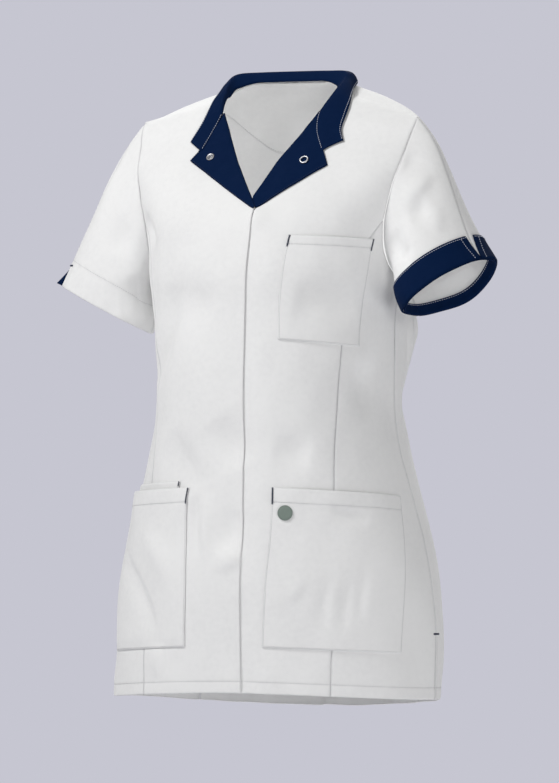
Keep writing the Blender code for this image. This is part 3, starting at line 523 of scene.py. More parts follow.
# Each sleeve: side, middle of its end, the ways from there to the over-arm seam and the front,
# its axis, bulges of its end, and creases. This crease lies behind both elbows
ELBOW_CREASE = (((0.62, 0.30), (0.70, 0.44), (0.80, 0.52)), -3.8, 10, 16)
LEFT_SLEEVE = Sleeve(
    1,
    (0.2300, -0.010, -0.2263),
    (0.0400, 0.0, 0.0330),
    (-0.020, -0.055, -0.0085),
    (0.60, -0.10, -0.79),
    ((0.68, 0.10, (0.0035, 0.002, -0.0060)), (0.43, 0.07, (-0.001, 0.0, 0.0030))),
    (
        (((0.06, 0.32), (0.13, 0.29), (0.20, 0.21)), 3.6, 8, 12),
        (((0.20, 0.34), (0.15, 0.42), (0.11, 0.48)), -5, 10, 16),
        (((0.125, 0.03), (0.115, 0.08), (0.105, 0.18)), -2, 8, 12),
        (((0.08, 0.52), (0.095, 0.61), (0.107, 0.70)), 2.2, 8, 10),
        (((0.285, 0.49), (0.245, 0.58), (0.21, 0.65)), -5, 10, 14),
        (((0.30, 0.18), (0.29, 0.38), (0.28, 0.60)), -7, 14, 18),
        ELBOW_CREASE,
        (((0.58, 0.55), (0.68, 0.66), (0.76, 0.72)), -2.6, 8, 14),
    ),
)
RIGHT_SLEEVE = Sleeve(
    -1,
    (-0.2262, -0.005, -0.2471),
    (-0.0600, 0.0, 0.0300),
    (0.008, -0.045, 0.0025),
    (-0.48, -0.05, -0.87),
    (),
    (
        (((0.33, 0.50), (0.40, 0.64), (0.46, 0.76)), -7.5, 12, 20),
        (((0.06, 0.22), (0.09, 0.40), (0.12, 0.56)), 3, 12, 18),
        (((0.25, 0.20), (0.24, 0.34), (0.26, 0.50)), -4, 12, 18),
        ELBOW_CREASE,
        (((0.57, 0.58), (0.66, 0.68), (0.74, 0.73)), -2.6, 8, 14),
    ),
)
CUFF_WIDTH = 0.0330
INNER_BAND = 0.0145
HEM_BAND = 0.0310
CUFF_SLIT_HALF = 0.0056
RIGHT_SLIT_SHARE = 0.130
RIGHT_SLIT_FRONT = 0.0045
RIGHT_SLIT_BACK = 0.0014
RIGHT_DRIFT = 0.042

# Collar stations from the notch to the middle of the back: inner edge, roll and outer edge.
# A place is a point, or a face with an x, a height in front or a y behind, and the lift over
# it, all in millimetres
COLLAR_BACK = (
    ((64, 30, 25.2), (71, 39, 34.8), ("back", 80, 49, 3.4)),
    ((39, 37.8, 25.4), (44, 46.8, 36.4), ("back", 50, 65, 3.6)),
    ((0, 40.5, 25.4), (0, 50, 36.8), ("back", 0, 68, 3.6)),
)
COLLAR_LEFT = (
    (("front", 79.5, -66, 2.4), ("front", 88.5, -59.4, 2.6), ("front", 102.8, -53, 2.6)),
    (("front", 65, -40, 2.4), ("front", 74.5, -38.5, 3), ("front", 96, -38, 2.6)),
    (("front", 63.4, -17.5, 2.6), ("front", 70, -15, 4.8), ("front", 97.2, -21.5, 2.8)),
    ((68.5, -1, -1), (74, 5, 10.4), ("front", 95, -4, 3)),
    ((69.7, 20, 17.5), (76.8, 26, 25), ("back", 86.2, 28.5, 3)),
)
COLLAR_RIGHT = (
    (("front", 78, -63, 2.4), ("front", 87, -58, 2.6), ("front", 99.4, -50.5, 2.6)),
    (("front", 71.2, -38.8, 2.4), ("front", 78, -37.5, 3), ("front", 93, -33.5, 2.6)),
    (("front", 64.6, -17.5, 2.6), ("front", 70, -15, 4.8), ("front", 88, -16.5, 2.8)),
    ((68.5, -1, -1), (74, 5, 10.4), ("front", 87, 0, 3.2)),
    ((69.7, 20, 17.5), (76, 26, 26), ("back", 87, 28.5, 3.6)),
)
COLLAR_STATIONS = len(COLLAR_LEFT) + len(COLLAR_BACK) - 1
COLLAR_FALL = 0.42


def collar_place(place, side):
    """One place of the collar's tables as a point on the wearer's right (-1) or left (1)."""
    if len(place) == 3:
        return np.array((side, 1, 1)) * place / 1000
    face = place[0]
    x, reach, over = np.array(place[1:]) / 1000
    level = level_at(face, x, reach)
    angle = angle_at(face, side * x, level)
    return body(face, angle, level) + body_normals(face, angle, level) * over


def collar_chain(key):
    """All points of one collar line, from the right notch round the back to the left notch."""
    right = [collar_place(row[key], -1) for row in COLLAR_RIGHT + COLLAR_BACK]
    left = [collar_place(row[key], 1) for row in COLLAR_LEFT + COLLAR_BACK[:-1]]
    return extended(right + left[::-1])


COLLAR_CHAINS = [collar_chain(key) for key in range(3)]


def collar_line(share, key):
    """Points on one collar line; share runs from -1, the right end, to 1, the left end."""
    t = np.clip((np.asarray(share, float) + 1) * COLLAR_STATIONS, 0, 2 * COLLAR_STATIONS)
    return smooth_points(COLLAR_CHAINS[key], t)


def collar_base(share, across):
    """across is 0 at the inner edge, 0.4 at the roll and 1 at the outer edge."""
    inner, roll, outer = (collar_line(share, key) for key in range(3))
    around = np.abs(share)
    inner = inner + ease(0.72, 0.60, around)[..., None] * np.array((0.0, -0.0012, -0.0010))
    corner = (ease(0.14, 0.30, around) * ease(0.54, 0.46, around))[..., None]
    inner = inner + corner * stack(-0.0016 * np.sign(share), -0.0014, -0.0060)
    across = np.asarray(across, float)[..., None]
    t = np.clip(across / 0.4, 0, 1)
    stand = inner * (1 - t) ** 2 + (roll - (outer - inner) * 0.10) * 2 * t * (1 - t) + roll * t * t
    t = np.clip((across - 0.4) / 0.6, 0, 1)
    lean = (outer - inner) * COLLAR_FALL
    fall = roll * (1 - t) ** 2 + (roll + lean) * 2 * t * (1 - t) + outer * t * t
    return np.where(across < 0.4, stand, fall)


def collar_form(share, across, out=0.0):
    """Places and ways out on the collar: the stand faces the neck and the fall faces out."""
    share, across = match(share, across)
    places = collar_base(share, across)
    before, after = np.maximum(share - 0.008, -1), np.minimum(share + 0.008, 1)
    around = collar_base(after, across) - collar_base(before, across)
    inner, outer = np.maximum(across - 0.03, 0), np.minimum(across + 0.03, 1)
    over = collar_base(share, outer) - collar_base(share, inner)
    normals = unit(np.cross(over, around))
    x, y, _ = np.moveaxis(places, -1, 0)
    outside = stack(x, y - 0.01, 0.02)
    hint = np.where((across > 0.4)[..., None], outside, -outside)
    front = np.abs(share) > 0.7
    near_roll = front | ((across > 0.25) & (across < 0.55))
    over_roll = stack(0.3 * x / 0.08, np.where(front, -0.4, 0.0), 1.0)
    hint = np.where(near_roll[..., None], over_roll, hint)
    normals = facing(normals, hint)
    soft = 0.0005 * np.sin(share * 17 + 1.0) * np.sin(across * 5 + share * 6) * ease(0.4, 0.8, across)
    return places + normals * (out + soft)[..., None], normals


# Lapels: tip x and z, foot x and z, in millimetres, and how far down the lapel its tip is
LEFT_LAPEL = (91.8, -81.8, 21.5, -132.5)
RIGHT_LAPEL = (90, -73.5, 18.6, -134.5)
NOTCH_SHARE = 0.2
LAPEL_GAP = 0.0006
GORGE_GAP = -0.0020


def lapel_form(side, points, thickness):
    """One lapel, from its roll line (v 0) out to its free edge (v 1), gorge (u 0) to foot (u 1)."""
    roll = RIGHT_ROLL if side < 0 else LEFT_ROLL
    tip_x, tip_z, foot_x, foot_z = np.array(points) / 1000

    def gorge(v):
        return collar_line(side * (1 - 2 * (1 - v) / COLLAR_STATIONS), 0)

    def form(v, u, out=0.0):
        v, u = match(v, u)
        top, notch = gorge(np.array(0.0)), gorge(np.array(1.0))
        z_in = top[2] - GORGE_GAP + (foot_z + 0.0015 - top[2]) * u
        level_in = level_at("front", 0.03, z_in)
        x_in = roll_x(roll, level_in)
        if side > 0:
            x_in = np.maximum(x_in, right_front_edge(level_in) + 0.0008)
        x_in = x_in - side * 0.0010
        t = u / NOTCH_SHARE
        low = (u - NOTCH_SHARE) / (1 - NOTCH_SHARE)
        upper = u < NOTCH_SHARE
        notch_z = notch[2] - GORGE_GAP
        x_out = np.where(upper, lerp(notch[0], side * tip_x, t), lerp(side * tip_x, foot_x, low))
        z_out = np.where(upper, lerp(notch_z, tip_z - GORGE_GAP * (1 - t), t), lerp(tip_z, foot_z, low))
        bend = (gorge(v) - lerp(top, notch, v[..., None])) * ((1 - u) ** 3)[..., None]
        x = lerp(x_in, x_out, v) + bend[..., 0] - side * GORGE_GAP * 0.6 * (1 - u)
        z = lerp(z_in, z_out, v) + bend[..., 2]
        level = level_at("front", x, z)
        puff = 0.0008 * np.sin(np.pi * np.clip(v, 0, 1)) ** 2 * ease(0.05, 0.35, u) * (1 - u)
        lift = LAPEL_GAP + thickness + out + puff
        return on_body("front", angle_at("front", x, level), level, lift, tuck=side > 0)

    return form


# Pockets: angles of the corners (top in, top out, foot in, foot out), their levels in the same
# order, how far the mouth stands off, and the height of what the pocket lies on, in millimetres
CHEST_POCKET = ((23.7, 65, 21, 63.1), (-165, -169, -288, -296), 1, 0.3)
HIP_POCKET_LEFT = ((17.7, 79.6, 15.1, 65.9), (-461, -471.5, -656, -657), 2.5, 0)
HIP_POCKET_RIGHT = ((17.7, 79.6, 17.2, 67), (-461, -471.5, -656, -657), 5.8, 1.8)
POCKET_BEND = 2.4
INNER_POCKET = ((23.5, 72, 22, 70), (-453.5, -460, -560, -562), 1, 0)


def pocket_form(side, pocket, thickness):
    """A patch pocket, u from its inner to its outer edge and v from its foot to its mouth."""
    top_in, top_out, foot_in, foot_out = pocket[0]
    top_in_level, top_out_level, foot_in_level, foot_out_level = np.array(pocket[1]) / 1000
    gape, base = np.array(pocket[2:]) / 1000

    def form(u, v, out=0.0):
        u, v = match(u, v)
        level = lerp(lerp(foot_in_level, foot_out_level, u), lerp(top_in_level, top_out_level, u), v)
        bend = POCKET_BEND * 4 * v * (1 - v) * np.abs(top_out - foot_out) / 13.7
        angle = side * lerp(lerp(foot_in, top_in, v), lerp(foot_out, top_out, v) - bend, u)
        inside = ease(0.0, 0.07, u) * ease(1.0, 0.93, u) * ease(0.0, 0.07, v)
        lift = LAYER_GAP + thickness + (base + gape * np.sin(np.pi * u) * v**2) * inside + out
        return on_body("front", angle, level, lift)

    return form


# The facing's lower edge: x and level, in millimetres
FACING_X = (0, 30, 50, 60, 77, 95, 112)
FACING_FOOT = (-76.5, -76, -73.5, -69.5, -58.5, -46.5, -36.5)


def facing_form(thickness):
    """The half-moon facing inside the back, u from -1 to 1 and v from its foot to the neckline."""

    def form(u, v, out=0.0):
        u, v = match(u, v)
        x = FACING_X[-1] / 1000 * u
        foot = np.interp(np.abs(x) * 1000, FACING_X, FACING_FOOT) / 1000
        level = lerp(foot, neck_top(x) - 0.0002, v)
        angle = angle_at("back", x, level)
        return on_body("back", angle, level, -thickness - 0.0005 + out)

    return form


# Where close lines of a mesh lie round its ends and marks, the least step between two lines, and
# the samples that levels are spaced by
CLOSE_LINES = (-0.0030, -0.0016, -0.0007, 0.0, 0.0007, 0.0016, 0.0030)
LEAST_STEP = 0.0006
LEVEL_SAMPLES = 1500


def lines(length, step, marks=()):
    """Shares from 0 to 1 in even steps, with close lines at both ends and at each mark."""
    places = list(np.linspace(0, length, max(2, math.ceil(length / step)) + 1))
    for mark in (0.0, length, *marks):
        places += [mark + off for off in CLOSE_LINES]
    kept = [0.0]
    for place in sorted(p for p in places if 0 < p < length):
        if min(place - kept[-1], length - place) > LEAST_STEP:
            kept.append(place)
    return np.array(kept + [length]) / length


def cloth_lines(length, marks=()):
    """Lines at the spacing of the cloth's mesh."""
    return lines(length, sizes().grid, marks)


def level_lines(start, end, marks=()):
    """Levels between two, spaced by length over the body, with close rows at ends and marks."""
    fine = np.linspace(start, end, LEVEL_SAMPLES)
    lengths = np.zeros(LEVEL_SAMPLES)
    for face in SECTIONS:
        for angle in (0.0, 30.0, 60.0):
            rise = np.diff(body(face, np.full(LEVEL_SAMPLES, angle), fine), axis=0)
            lengths[1:] = np.maximum(lengths[1:], np.linalg.norm(rise, axis=1))
    lengths = np.cumsum(lengths)
    at_marks = [float(np.interp(mark, fine, lengths)) for mark in marks]
    return np.interp(cloth_lines(lengths[-1], at_marks) * lengths[-1], lengths, fine)


def finished_mesh(form, name):
    mesh = bpy.data.meshes.new(name)
    form.to_mesh(mesh)
    form.free()
    return mesh


def add_object(name, data):
    obj = bpy.data.objects.new(name, data)
    bpy.context.scene.collection.objects.link(obj)
    return obj


def add_piece(mesh, material):
    """Puts a mesh into the scene as an object of the same name."""
    mesh.materials.append(material)
    return add_object(mesh.name, mesh)


def grid_mesh(name, points, outward, cloth_uv, crevice):
    """A flat grid moved onto points, an array of rows and columns."""
    rows, columns = points.shape[:2]
    form = bmesh.new()
    bmesh.ops.create_grid(form, x_segments=columns - 1, y_segments=rows - 1, size=0.5)
    mesh = finished_mesh(form, name)

    def read(items, key, start):
        items.foreach_get(key, start)
        return start

    flat = read(mesh.vertices, "co", np.empty(rows * columns * 3)).reshape(-1, 3)
    column = np.rint((flat[:, 0] + 0.5) * (columns - 1)).astype(int)
    row = np.rint((flat[:, 1] + 0.5) * (rows - 1)).astype(int)
    mesh.vertices.foreach_set("co", points[row, column].ravel())
    corners = read(mesh.loops, "vertex_index", np.empty(len(mesh.loops), dtype=np.int32))
    mesh.uv_layers.new(name="cloth").data.foreach_set("uv", cloth_uv[row, column][corners].ravel())
    mesh.attributes.new("crevice", "FLOAT", "POINT").data.foreach_set("value", crevice[row, column])
    mesh.update()
    ways = read(mesh.vertices, "normal", np.empty(rows * columns * 3)).reshape(-1, 3)
    if (ways * outward[row, column]).sum() < 0:
        mesh.flip_normals()
    mesh.shade_smooth()
    return mesh


def dip(distance, width):
    """1 on a line, falling away from it on both sides."""
    return np.exp(-((distance / width) ** 2))


def cloth_shell(name, form, us, vs, finish, seams=(), folds=(), wraps=(), sewn=()):
    """A shell of cloth. seams and folds name the sides that roll in, and wraps gives sides with
    how far they roll in; sewn lists stitched-down lines as the side that they follow, their
    distance from it and how far they pull in."""
    v, u = np.meshgrid(vs, us, indexing="ij")
    points, normals = form(u, v)
    across = np.zeros(u.shape)
    across[:, 1:] = np.cumsum(np.linalg.norm(np.diff(points, axis=1), axis=-1), axis=1)
    along = np.zeros(u.shape)
    along[1:] = np.cumsum(np.linalg.norm(np.diff(points, axis=0), axis=-1), axis=0)
    away = {"left": across, "right": across[:, -1:] - across, "foot": along, "top": along[-1:] - along}
    # This mask paints shade into the cloth's colour along seams, folded edges and stitch lines, where shade
    # falls
    crevice = np.zeros(u.shape)
    push = np.zeros(u.shape)
    for side in seams:
        push -= SEAM_ROLL * dip(away[side], SEAM_REACH)
        crevice = np.maximum(crevice, 0.6 * dip(away[side], SEAM_SHADE))
    for side, depth in wraps:
        push -= depth * dip(away[side], WRAP_REACH)
    for side in folds:
        push -= FOLD_ROLL * dip(away[side], FOLD_REACH)
        crevice = np.maximum(crevice, 0.5 * dip(away[side], FOLD_SHADE))
    for side, distance, depth in sewn:
        other = along if side in ("left", "right") else across
        pucker = 0.6 + 0.4 * np.sin(other * 520) * np.sin(other * 173 + 1)
        near = dip(away[side] - distance, STITCH_REACH) * pucker
        push -= depth * near
        crevice = np.maximum(crevice, 0.35 * near)
        band = np.clip(away[side] / distance, 0, 2)
        puff = np.sin(np.pi * np.clip(band, 0, 1)) ** 2 + 0.4 * dip(band - 1.35, 0.22)
        push += 0.9 * depth * puff * np.sin(other * 330 + 2 * np.sin(other * 71)) * np.sin(other * 97 + 0.5)
    points = points + normals * push[..., None]
    obj = add_piece(grid_mesh(name, points, normals, np.stack([across, along], axis=-1), crevice), finish)
    wall = obj.modifiers.new("wall", "SOLIDIFY")
    wall.thickness = sizes().cloth
    wall.offset = -1
    return obj


def read_run(at, lengths, rows):
    return np.array([np.interp(at, lengths, column) for column in rows.T])


def sew(name, runs, finish, pitch, width, across=False):
    """Raised stitches along runs of places and ways out; across turns them over the line."""
    form = bmesh.new()
    draw = np.random.default_rng(len(name) * 7 + len(runs))
    for points, normals in runs:
        lengths = lengths_along(points)
        count = max(1, int(round(lengths[-1] / pitch)))
        middles = (np.arange(count) + 0.5) / count * lengths[-1]
        half = lengths[-1] / count * 0.43
        for middle in middles:
            here, before, after = (read_run(middle + off, lengths, points) for off in (0.0, -half, half))
            up = unit(read_run(middle, lengths, normals))
            way = unit(after - before)
            side = np.cross(up, way)
            size = (pitch * 0.55, width / 2, TACK_HEIGHT) if across else (half, width / 2, width * 0.4)
            size = np.array(size) * draw.uniform(0.92, 1.06, 3)
            turn = draw.normal(0, 0.03)
            way, side = way + side * turn, side - way * turn
            move = np.identity(4)
            move[:3] = np.column_stack([way * size[0], side * size[1], up * size[2], here])
            bmesh.ops.create_icosphere(form, subdivisions=1, radius=1.0, matrix=Matrix(move))
    mesh = finished_mesh(form, name)
    mesh.shade_smooth()
    return add_piece(mesh, finish)


class Value:
    """A shader value; sums on it add Math nodes."""

    def __init__(self, finish, socket):
        self.finish = finish
        self.socket = socket

    def __add__(self, other):
        return self.finish.sum("ADD", self, other)

    def __sub__(self, other):
        return self.finish.sum("SUBTRACT", self, other)

    def __rsub__(self, other):
        return self.finish.sum("SUBTRACT", other, self)

    def __mul__(self, other):
        return self.finish.sum("MULTIPLY", self, other)

    __radd__ = __add__
    __rmul__ = __mul__

    def sine(self):
        return self.finish.sum("SINE", self)


class Nodes:
    """A node tree that is filled from Python."""

    def __init__(self, tree):
        self.tree = tree

    def node(self, kind, settings=None, values=None):
        """Adds a node: its settings first, then its sockets' values or links."""
        node = self.tree.nodes.new(kind)
        for key, value in (settings or {}).items():
            setattr(node, key, value)
        for key, value in (values or {}).items():
            self.give(node.inputs[key], value)
        return node

    def give(self, socket, value):
        if isinstance(value, Value):
            value = value.socket
        if isinstance(value, bpy.types.NodeSocket):
            self.tree.links.new(value, socket)
        else:
            socket.default_value = value


class Finish(Nodes):
    """A material and the nodes that make it."""

    def __init__(self, name):
        self.material = bpy.data.materials.new(name)
        self.material.use_nodes = True
        super().__init__(self.material.node_tree)
        self.shader = self.tree.nodes["Principled BSDF"]
        self.where = None

    def sum(self, operation, *values):
        node = self.node("ShaderNodeMath", {"operation": operation}, dict(enumerate(values)))
        return Value(self, node.outputs[0])

    def mix(self, factor, first, second):
        """One colour shading into another."""
        values = {0: factor, 6: first, 7: second}
        for key in (6, 7):
            if isinstance(values[key], tuple):
                values[key] = (*values[key], 1.0)
        return self.node("ShaderNodeMix", {"data_type": "RGBA"}, values).outputs[2]

    def noise(self, scale, detail=3.0):
        """Noise that stays in place on the part."""
        if self.where is None:
            self.where = self.node("ShaderNodeTexCoord").outputs["Object"]
        values = {"Vector": self.where, "Scale": scale, "Detail": detail}
        return Value(self, self.node("ShaderNodeTexNoise", None, values).outputs[0])

    def crevice(self):
        return self.node("ShaderNodeAttribute", {"attribute_name": "crevice"}).outputs["Fac"]

    def bump(self, height, strength, distance):
        values = {"Height": height, "Strength": strength, "Distance": distance}
        self.set(Normal=self.node("ShaderNodeBump", None, values).outputs[0])

    def set(self, **values):
        for key, value in values.items():
            self.give(self.shader.inputs[key.replace("_", " ")], value)


def darker(colour, share):
    return tuple(share * part for part in colour)


def woven_cloth(name, colour, shade, pitch, roughness, sheen, relief):
    """Plain cloth: a fine twill, slightly uneven colour, and painted shade in its seams, along folded edges
    and under stitches.
    """
    cloth = Finish(name)
    cloth_uv = cloth.node("ShaderNodeUVMap", {"uv_map": "cloth"}).outputs[0]
    parts = cloth.node("ShaderNodeSeparateXYZ", None, {0: cloth_uv})
    across, along = Value(cloth, parts.outputs[0]), Value(cloth, parts.outputs[1])
    turns = 2 * math.pi / pitch
    twill = ((across + along) * turns).sine() * 0.5 + 0.5
    yarn = ((across - along) * (turns * 2)).sine() * 0.5 + 0.5
    patches = cloth.noise(7.0)
    slubs = cloth.noise(160.0, 2.0)
    crevice = Value(cloth, cloth.crevice())
    # Random tone of the yarn and weave, plus painted shade along seams, folded edges and stitches
    tone_and_seam_shade = (patches - 0.5) * 0.30 + (slubs - 0.5) * 0.20 + (1 - twill) * 0.10 + crevice * 0.6
    cloth.set(
        Base_Color=cloth.mix(cloth.sum("MAXIMUM", tone_and_seam_shade, 0.0), tuple(colour), tuple(shade)),
        Roughness=(slubs - 0.5) * 0.12 + roughness,
        Sheen_Weight=sheen,
        Sheen_Roughness=0.5,
        Specular_IOR_Level=0.08,
    )
    cloth.bump(twill * 0.6 + yarn * 0.4 + slubs * 0.8, relief, 0.00012)
    return cloth.material


def thread(name, colour):
    """Sewing thread, with fine fibres that vary in colour and height."""
    sewn = Finish(name)
    fibres = sewn.noise(900.0, 2.0)
    sewn.set(
        Base_Color=sewn.mix(fibres, tuple(colour), darker(colour, 0.72)),
        Roughness=fibres * 0.2 + 0.45,
        Sheen_Weight=0.15,
    )
    sewn.bump(fibres, 0.4, 0.0001)
    return sewn.material


def rubbed_metal_with_groove_shade(name, colour):
    """Nickel-plated snap metal with fine rubbing marks, and near-black painted shade in its groove."""
    metal = Finish(name)
    rubbed = metal.noise(620.0, 4.0)
    # Painted shade: the groove below the surface is coloured near-black
    crevice = metal.crevice()
    plate = metal.mix(rubbed * 0.5, tuple(colour), darker(colour, 0.8))
    metal.set(
        Base_Color=metal.mix(crevice, plate, (0.03, 0.03, 0.04)),
        Roughness=rubbed * 0.18 + 0.34,
        Metallic=1.0,
    )
    metal.bump(rubbed, 0.15, 0.00005)
    return metal.material


def length_prop(name, description, default):
    return FloatProperty(name=name, description=description, default=default, unit="LENGTH", precision=5)


def colour_prop(name, description, default):
    return FloatVectorProperty(name=name, description=description, default=default, subtype="COLOR")


class TunicSizes(bpy.types.PropertyGroup):
    cloth: length_prop("Cloth", "Thickness of the cloth", 0.0014)
    grid: length_prop("Grid", "Spacing of the cloth's mesh", 0.0044)
    body_hem: length_prop("Body hem", "Depth of the body's hem", 0.0140)
    sleeve_hem: length_prop("Sleeve hem", "Depth of the right sleeve's hem", 0.0340)
    chest_hem: length_prop("Chest pocket hem", "Depth of the chest pocket's hem", 0.0110)
    hip_hem: length_prop("Hip pocket hem", "Depth of the hip pockets' hems", 0.0175)
    stitch: length_prop("Stitch", "Length of one stitch", 0.0030)
    thread: length_prop("Thread", "Width of the sewing thread", 0.00042)
    piping: length_prop("Pale thread", "Width of the pale thread on navy", 0.00095)
    tack: length_prop("Bar tack", "Width of a bar tack", 0.0027)
    weave: length_prop("Weave", "Distance between the ribs of the twill", 0.0007)


class TunicColours(bpy.types.PropertyGroup):
    white: colour_prop("White cloth", "Colour of the body's cloth", (0.90, 0.90, 0.895))
    # Colour that the white cloth's random tone and its painted shade in seams, folds and stitch lines shade
    # into
    white_shade: colour_prop("White cloth in seams", "Colour of the white cloth in seams", (0.52, 0.52, 0.54))
    navy: colour_prop("Navy cloth", "Colour of collar, lapels and cuff", (0.0006, 0.0110, 0.0500))
    # Colour that the navy cloth's random tone and its painted shade in seams and folds shade into
    navy_shade: colour_prop(
        "Navy cloth in seams", "Colour of the navy cloth in seams", (0.0003, 0.0030, 0.0150)
    )
    pale_thread: colour_prop("Pale thread", "Colour of the topstitching on navy", (0.52, 0.55, 0.66))
    grey_thread: colour_prop("Grey thread", "Colour of the stitching on white", (0.55, 0.55, 0.57))
    metal: colour_prop("Snap metal", "Colour of the snap", (0.86, 0.86, 0.88))
    tab: colour_prop("Tab", "Colour of the round tab", (0.22, 0.27, 0.24))
    floor: colour_prop("Floor", "Colour of the floor and the room", (0.565, 0.565, 0.638))


def sizes():
    return bpy.context.scene.tunic_sizes


def finish_of(kind):
    """The material of a kind, made when it is first asked for."""
    known = bpy.data.materials.get(kind)
    if known:
        return known
    colours = bpy.context.scene.tunic_colours
    weave = sizes().weave
    if kind == "white twill":
        return woven_cloth(kind, colours.white, colours.white_shade, weave, 0.82, 0.12, 0.30)
    if kind == "navy twill":
        return woven_cloth(kind, colours.navy, colours.navy_shade, weave, 0.85, 0.0, 0.45)
    if kind == "tab weave":
        return woven_cloth(kind, colours.tab, darker(colours.tab, 0.5), 0.0011, 0.80, 0.2, 0.9)
    if kind == "snap metal":
        return rubbed_metal_with_groove_shade(kind, colours.metal)
    return thread(kind, getattr(colours, {"navy thread": "navy"}.get(kind, kind.replace(" ", "_"))))


# How each cloth piece was cut: width and length in millimetres, flat area in square centimetres,
# how it is held, and what carries it
CUTS = {
    "front_right_centre": (202, 796, 1153, "hung", ("back_centre",)),
    "front_left_centre": (190, 790, 1135, "hung", ("back_centre",)),
    "front_right_side": (144, 592, 616, "hung", ("front_right_centre",)),
    "front_left_side": (144, 592, 616, "hung", ("front_left_centre",)),
    "back_centre": (406, 805, 2703, "hung", ("front_right_centre", "front_left_centre")),
    "back_right_side": (118, 608, 432, "hung", ("back_centre",)),
    "back_left_side": (118, 610, 433, "hung", ("back_centre",)),
    "sleeve_right_front": (222, 220, 205, "hung", ("front_right_centre",)),
    "sleeve_right_back": (215, 221, 255, "hung", ("back_centre",)),
    "sleeve_left_front": (222, 188, 192, "hung", ("front_left_centre",)),
    "sleeve_left_back": (215, 188, 204, "hung", ("back_centre",)),
    "cuff_left_front": (179, 35, 59, "folded", ("sleeve_left_front",)),
    "cuff_left_back": (183, 34, 59, "folded", ("sleeve_left_back",)),
    "cuff_left_inner": (338, 15, 49, "folded", ("sleeve_left_front", "sleeve_left_back")),
    "hem_facing_right": (347, 32, 104, "folded", ("sleeve_right_front", "sleeve_right_back")),
    "collar": (417, 52, 149, "folded", ("back_centre",)),
    "lapel_right": (59, 169, 51, "folded", ("front_right_centre",)),
    "lapel_left": (68, 156, 54, "folded", ("front_left_centre",)),
    "back_neck_facing": (245, 107, 206, "laid", ("back_centre",)),
    "chest_pocket": (107, 130, 132, "laid", ("front_left_centre", "front_left_side")),
    "hip_pocket_left": (174, 190, 322, "laid", ("front_left_centre", "front_left_side")),
    "hip_pocket_right": (177, 190, 326, "laid", ("front_right_centre", "front_right_side")),
    "inner_pocket_right": (153, 106, 146, "laid", ("front_right_centre", "front_right_side")),
}


def hand_over(obj, slot, *nodes):
    """Hides the part's nodes that a piece stands for and puts the piece on the part's root body; slot is not
    used.
    """
    if nodes:
        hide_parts(*nodes)
    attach(obj, "root")
    return obj


def lay_cloth(node, form, us, vs, sewing=(), kind="white twill", **edges):
    """Makes a cloth piece for a node and hands it over; its sewing and its cut are looked up but not used."""
    obj = cloth_shell(f"cloth_{node}", form, us, vs, finish_of(kind), **edges)
    hand_over(obj, "cloth" if kind == "white twill" else "trim_cloth", node)
    width, length, area, held, carried_by = CUTS[node]
    list(carried_by)
    list(sewing)


def stitched(name, runs, kind="grey thread", slot="cloth"):
    width = sizes().piping if kind == "pale thread" else sizes().thread
    return hand_over(sew(name, runs, finish_of(kind), sizes().stitch, width), slot)


def bar_tacks(name, runs):
    """Dense navy tacks, each over a short line."""
    tacks = sew(name, runs, finish_of("navy thread"), TACK_PITCH, sizes().tack, across=True)
    hand_over(tacks, "trim_cloth")


def between(*ends):
    """A run from one place and way out to another."""
    return tuple(np.array(pair) for pair in zip(*ends))


def run_of(form, us, vs, out, count=60):
    """A run of places and ways out along a line of a form."""
    t = np.linspace(0, 1, count)
    places = [np.interp(t, np.linspace(0, 1, len(values)), values) for values in (us, vs)]
    return form(*places, out=out)


def inside_run(form, us, vs, out):
    """A run of thread on the inner side of a cloth piece."""
    places, ways = run_of(form, us, vs, -sizes().cloth - out, 120)
    return places, -ways


def run_along_hem(form, us, distance, out, count=60):
    """A run at an even distance from the form's end, v = 1."""
    u = np.linspace(*us, count)
    fine = np.linspace(1.0, 0.5, 120)
    places, _ = form(u[None, :], fine[:, None])
    v = np.array([np.interp(distance, lengths_along(places[:, k]), fine) for k in range(count)])
    return form(u, v, out=out)


def body_form(face, side, low_edge, high_edge, tuck=False):
    """A panel between two edges, each a function from level to an angle without its sign."""

    def form(share, level, out=0.0):
        angle = side * lerp(low_edge(level), high_edge(level), share)
        return on_body(face, angle, level, out, tuck)

    return form


def front_form(side, front_edge):
    """A front panel from its own edge, given as x at each level, to the princess seam."""

    def inner(level):
        return side * angle_at("front", front_edge(level), level)

    return body_form("front", side, inner, princess("front", False), side > 0)


def princess(face, inward):
    """The panel's edge at the princess seam, or at the armhole over it."""

    def edge(level):
        angle = princess_angle(face, level)
        if inward:
            return angle + gap_angle(face, angle, level, SEAM_GAP / 2)
        angle = np.minimum(angle, np.where(level > ARMPIT, armhole_angle(face, level), 90.0))
        return angle - gap_angle(face, angle, level, SEAM_GAP / 2)

    return edge


def side_edge(face):
    """The side seam, the slit under it and the armhole over it."""

    def edge(level):
        open_share = np.clip((SLIT_TOP - level) / (SLIT_TOP - HEM), 0.0, 1.0)
        low = 90 - gap_angle(face, 89.0, level, SEAM_GAP / 2 + SLIT_OPENING / 2 * open_share)
        return np.where(level > ARMPIT, armhole_angle(face, level), low)

    return edge


def hem_level():
    return HEM + sizes().body_hem


def hem_run(form, start=0.0, end=1.0, count=60):
    return run_of(form, (start, end), (hem_level(),) * 2, THREAD_RISE, count)


def lay_panel(node, form, width, top, sewing, centred=False, **edges):
    """A body panel from the hem up to its top level, with its hem sewn down."""
    columns = cloth_lines(width) * 2 - 1 if centred else cloth_lines(width)
    rows = level_lines(HEM, top, (hem_level(),))
    lay_cloth(node, form, columns, rows, [sewing], sewn=(("foot", sizes().body_hem, HEM_PULL),), **edges)


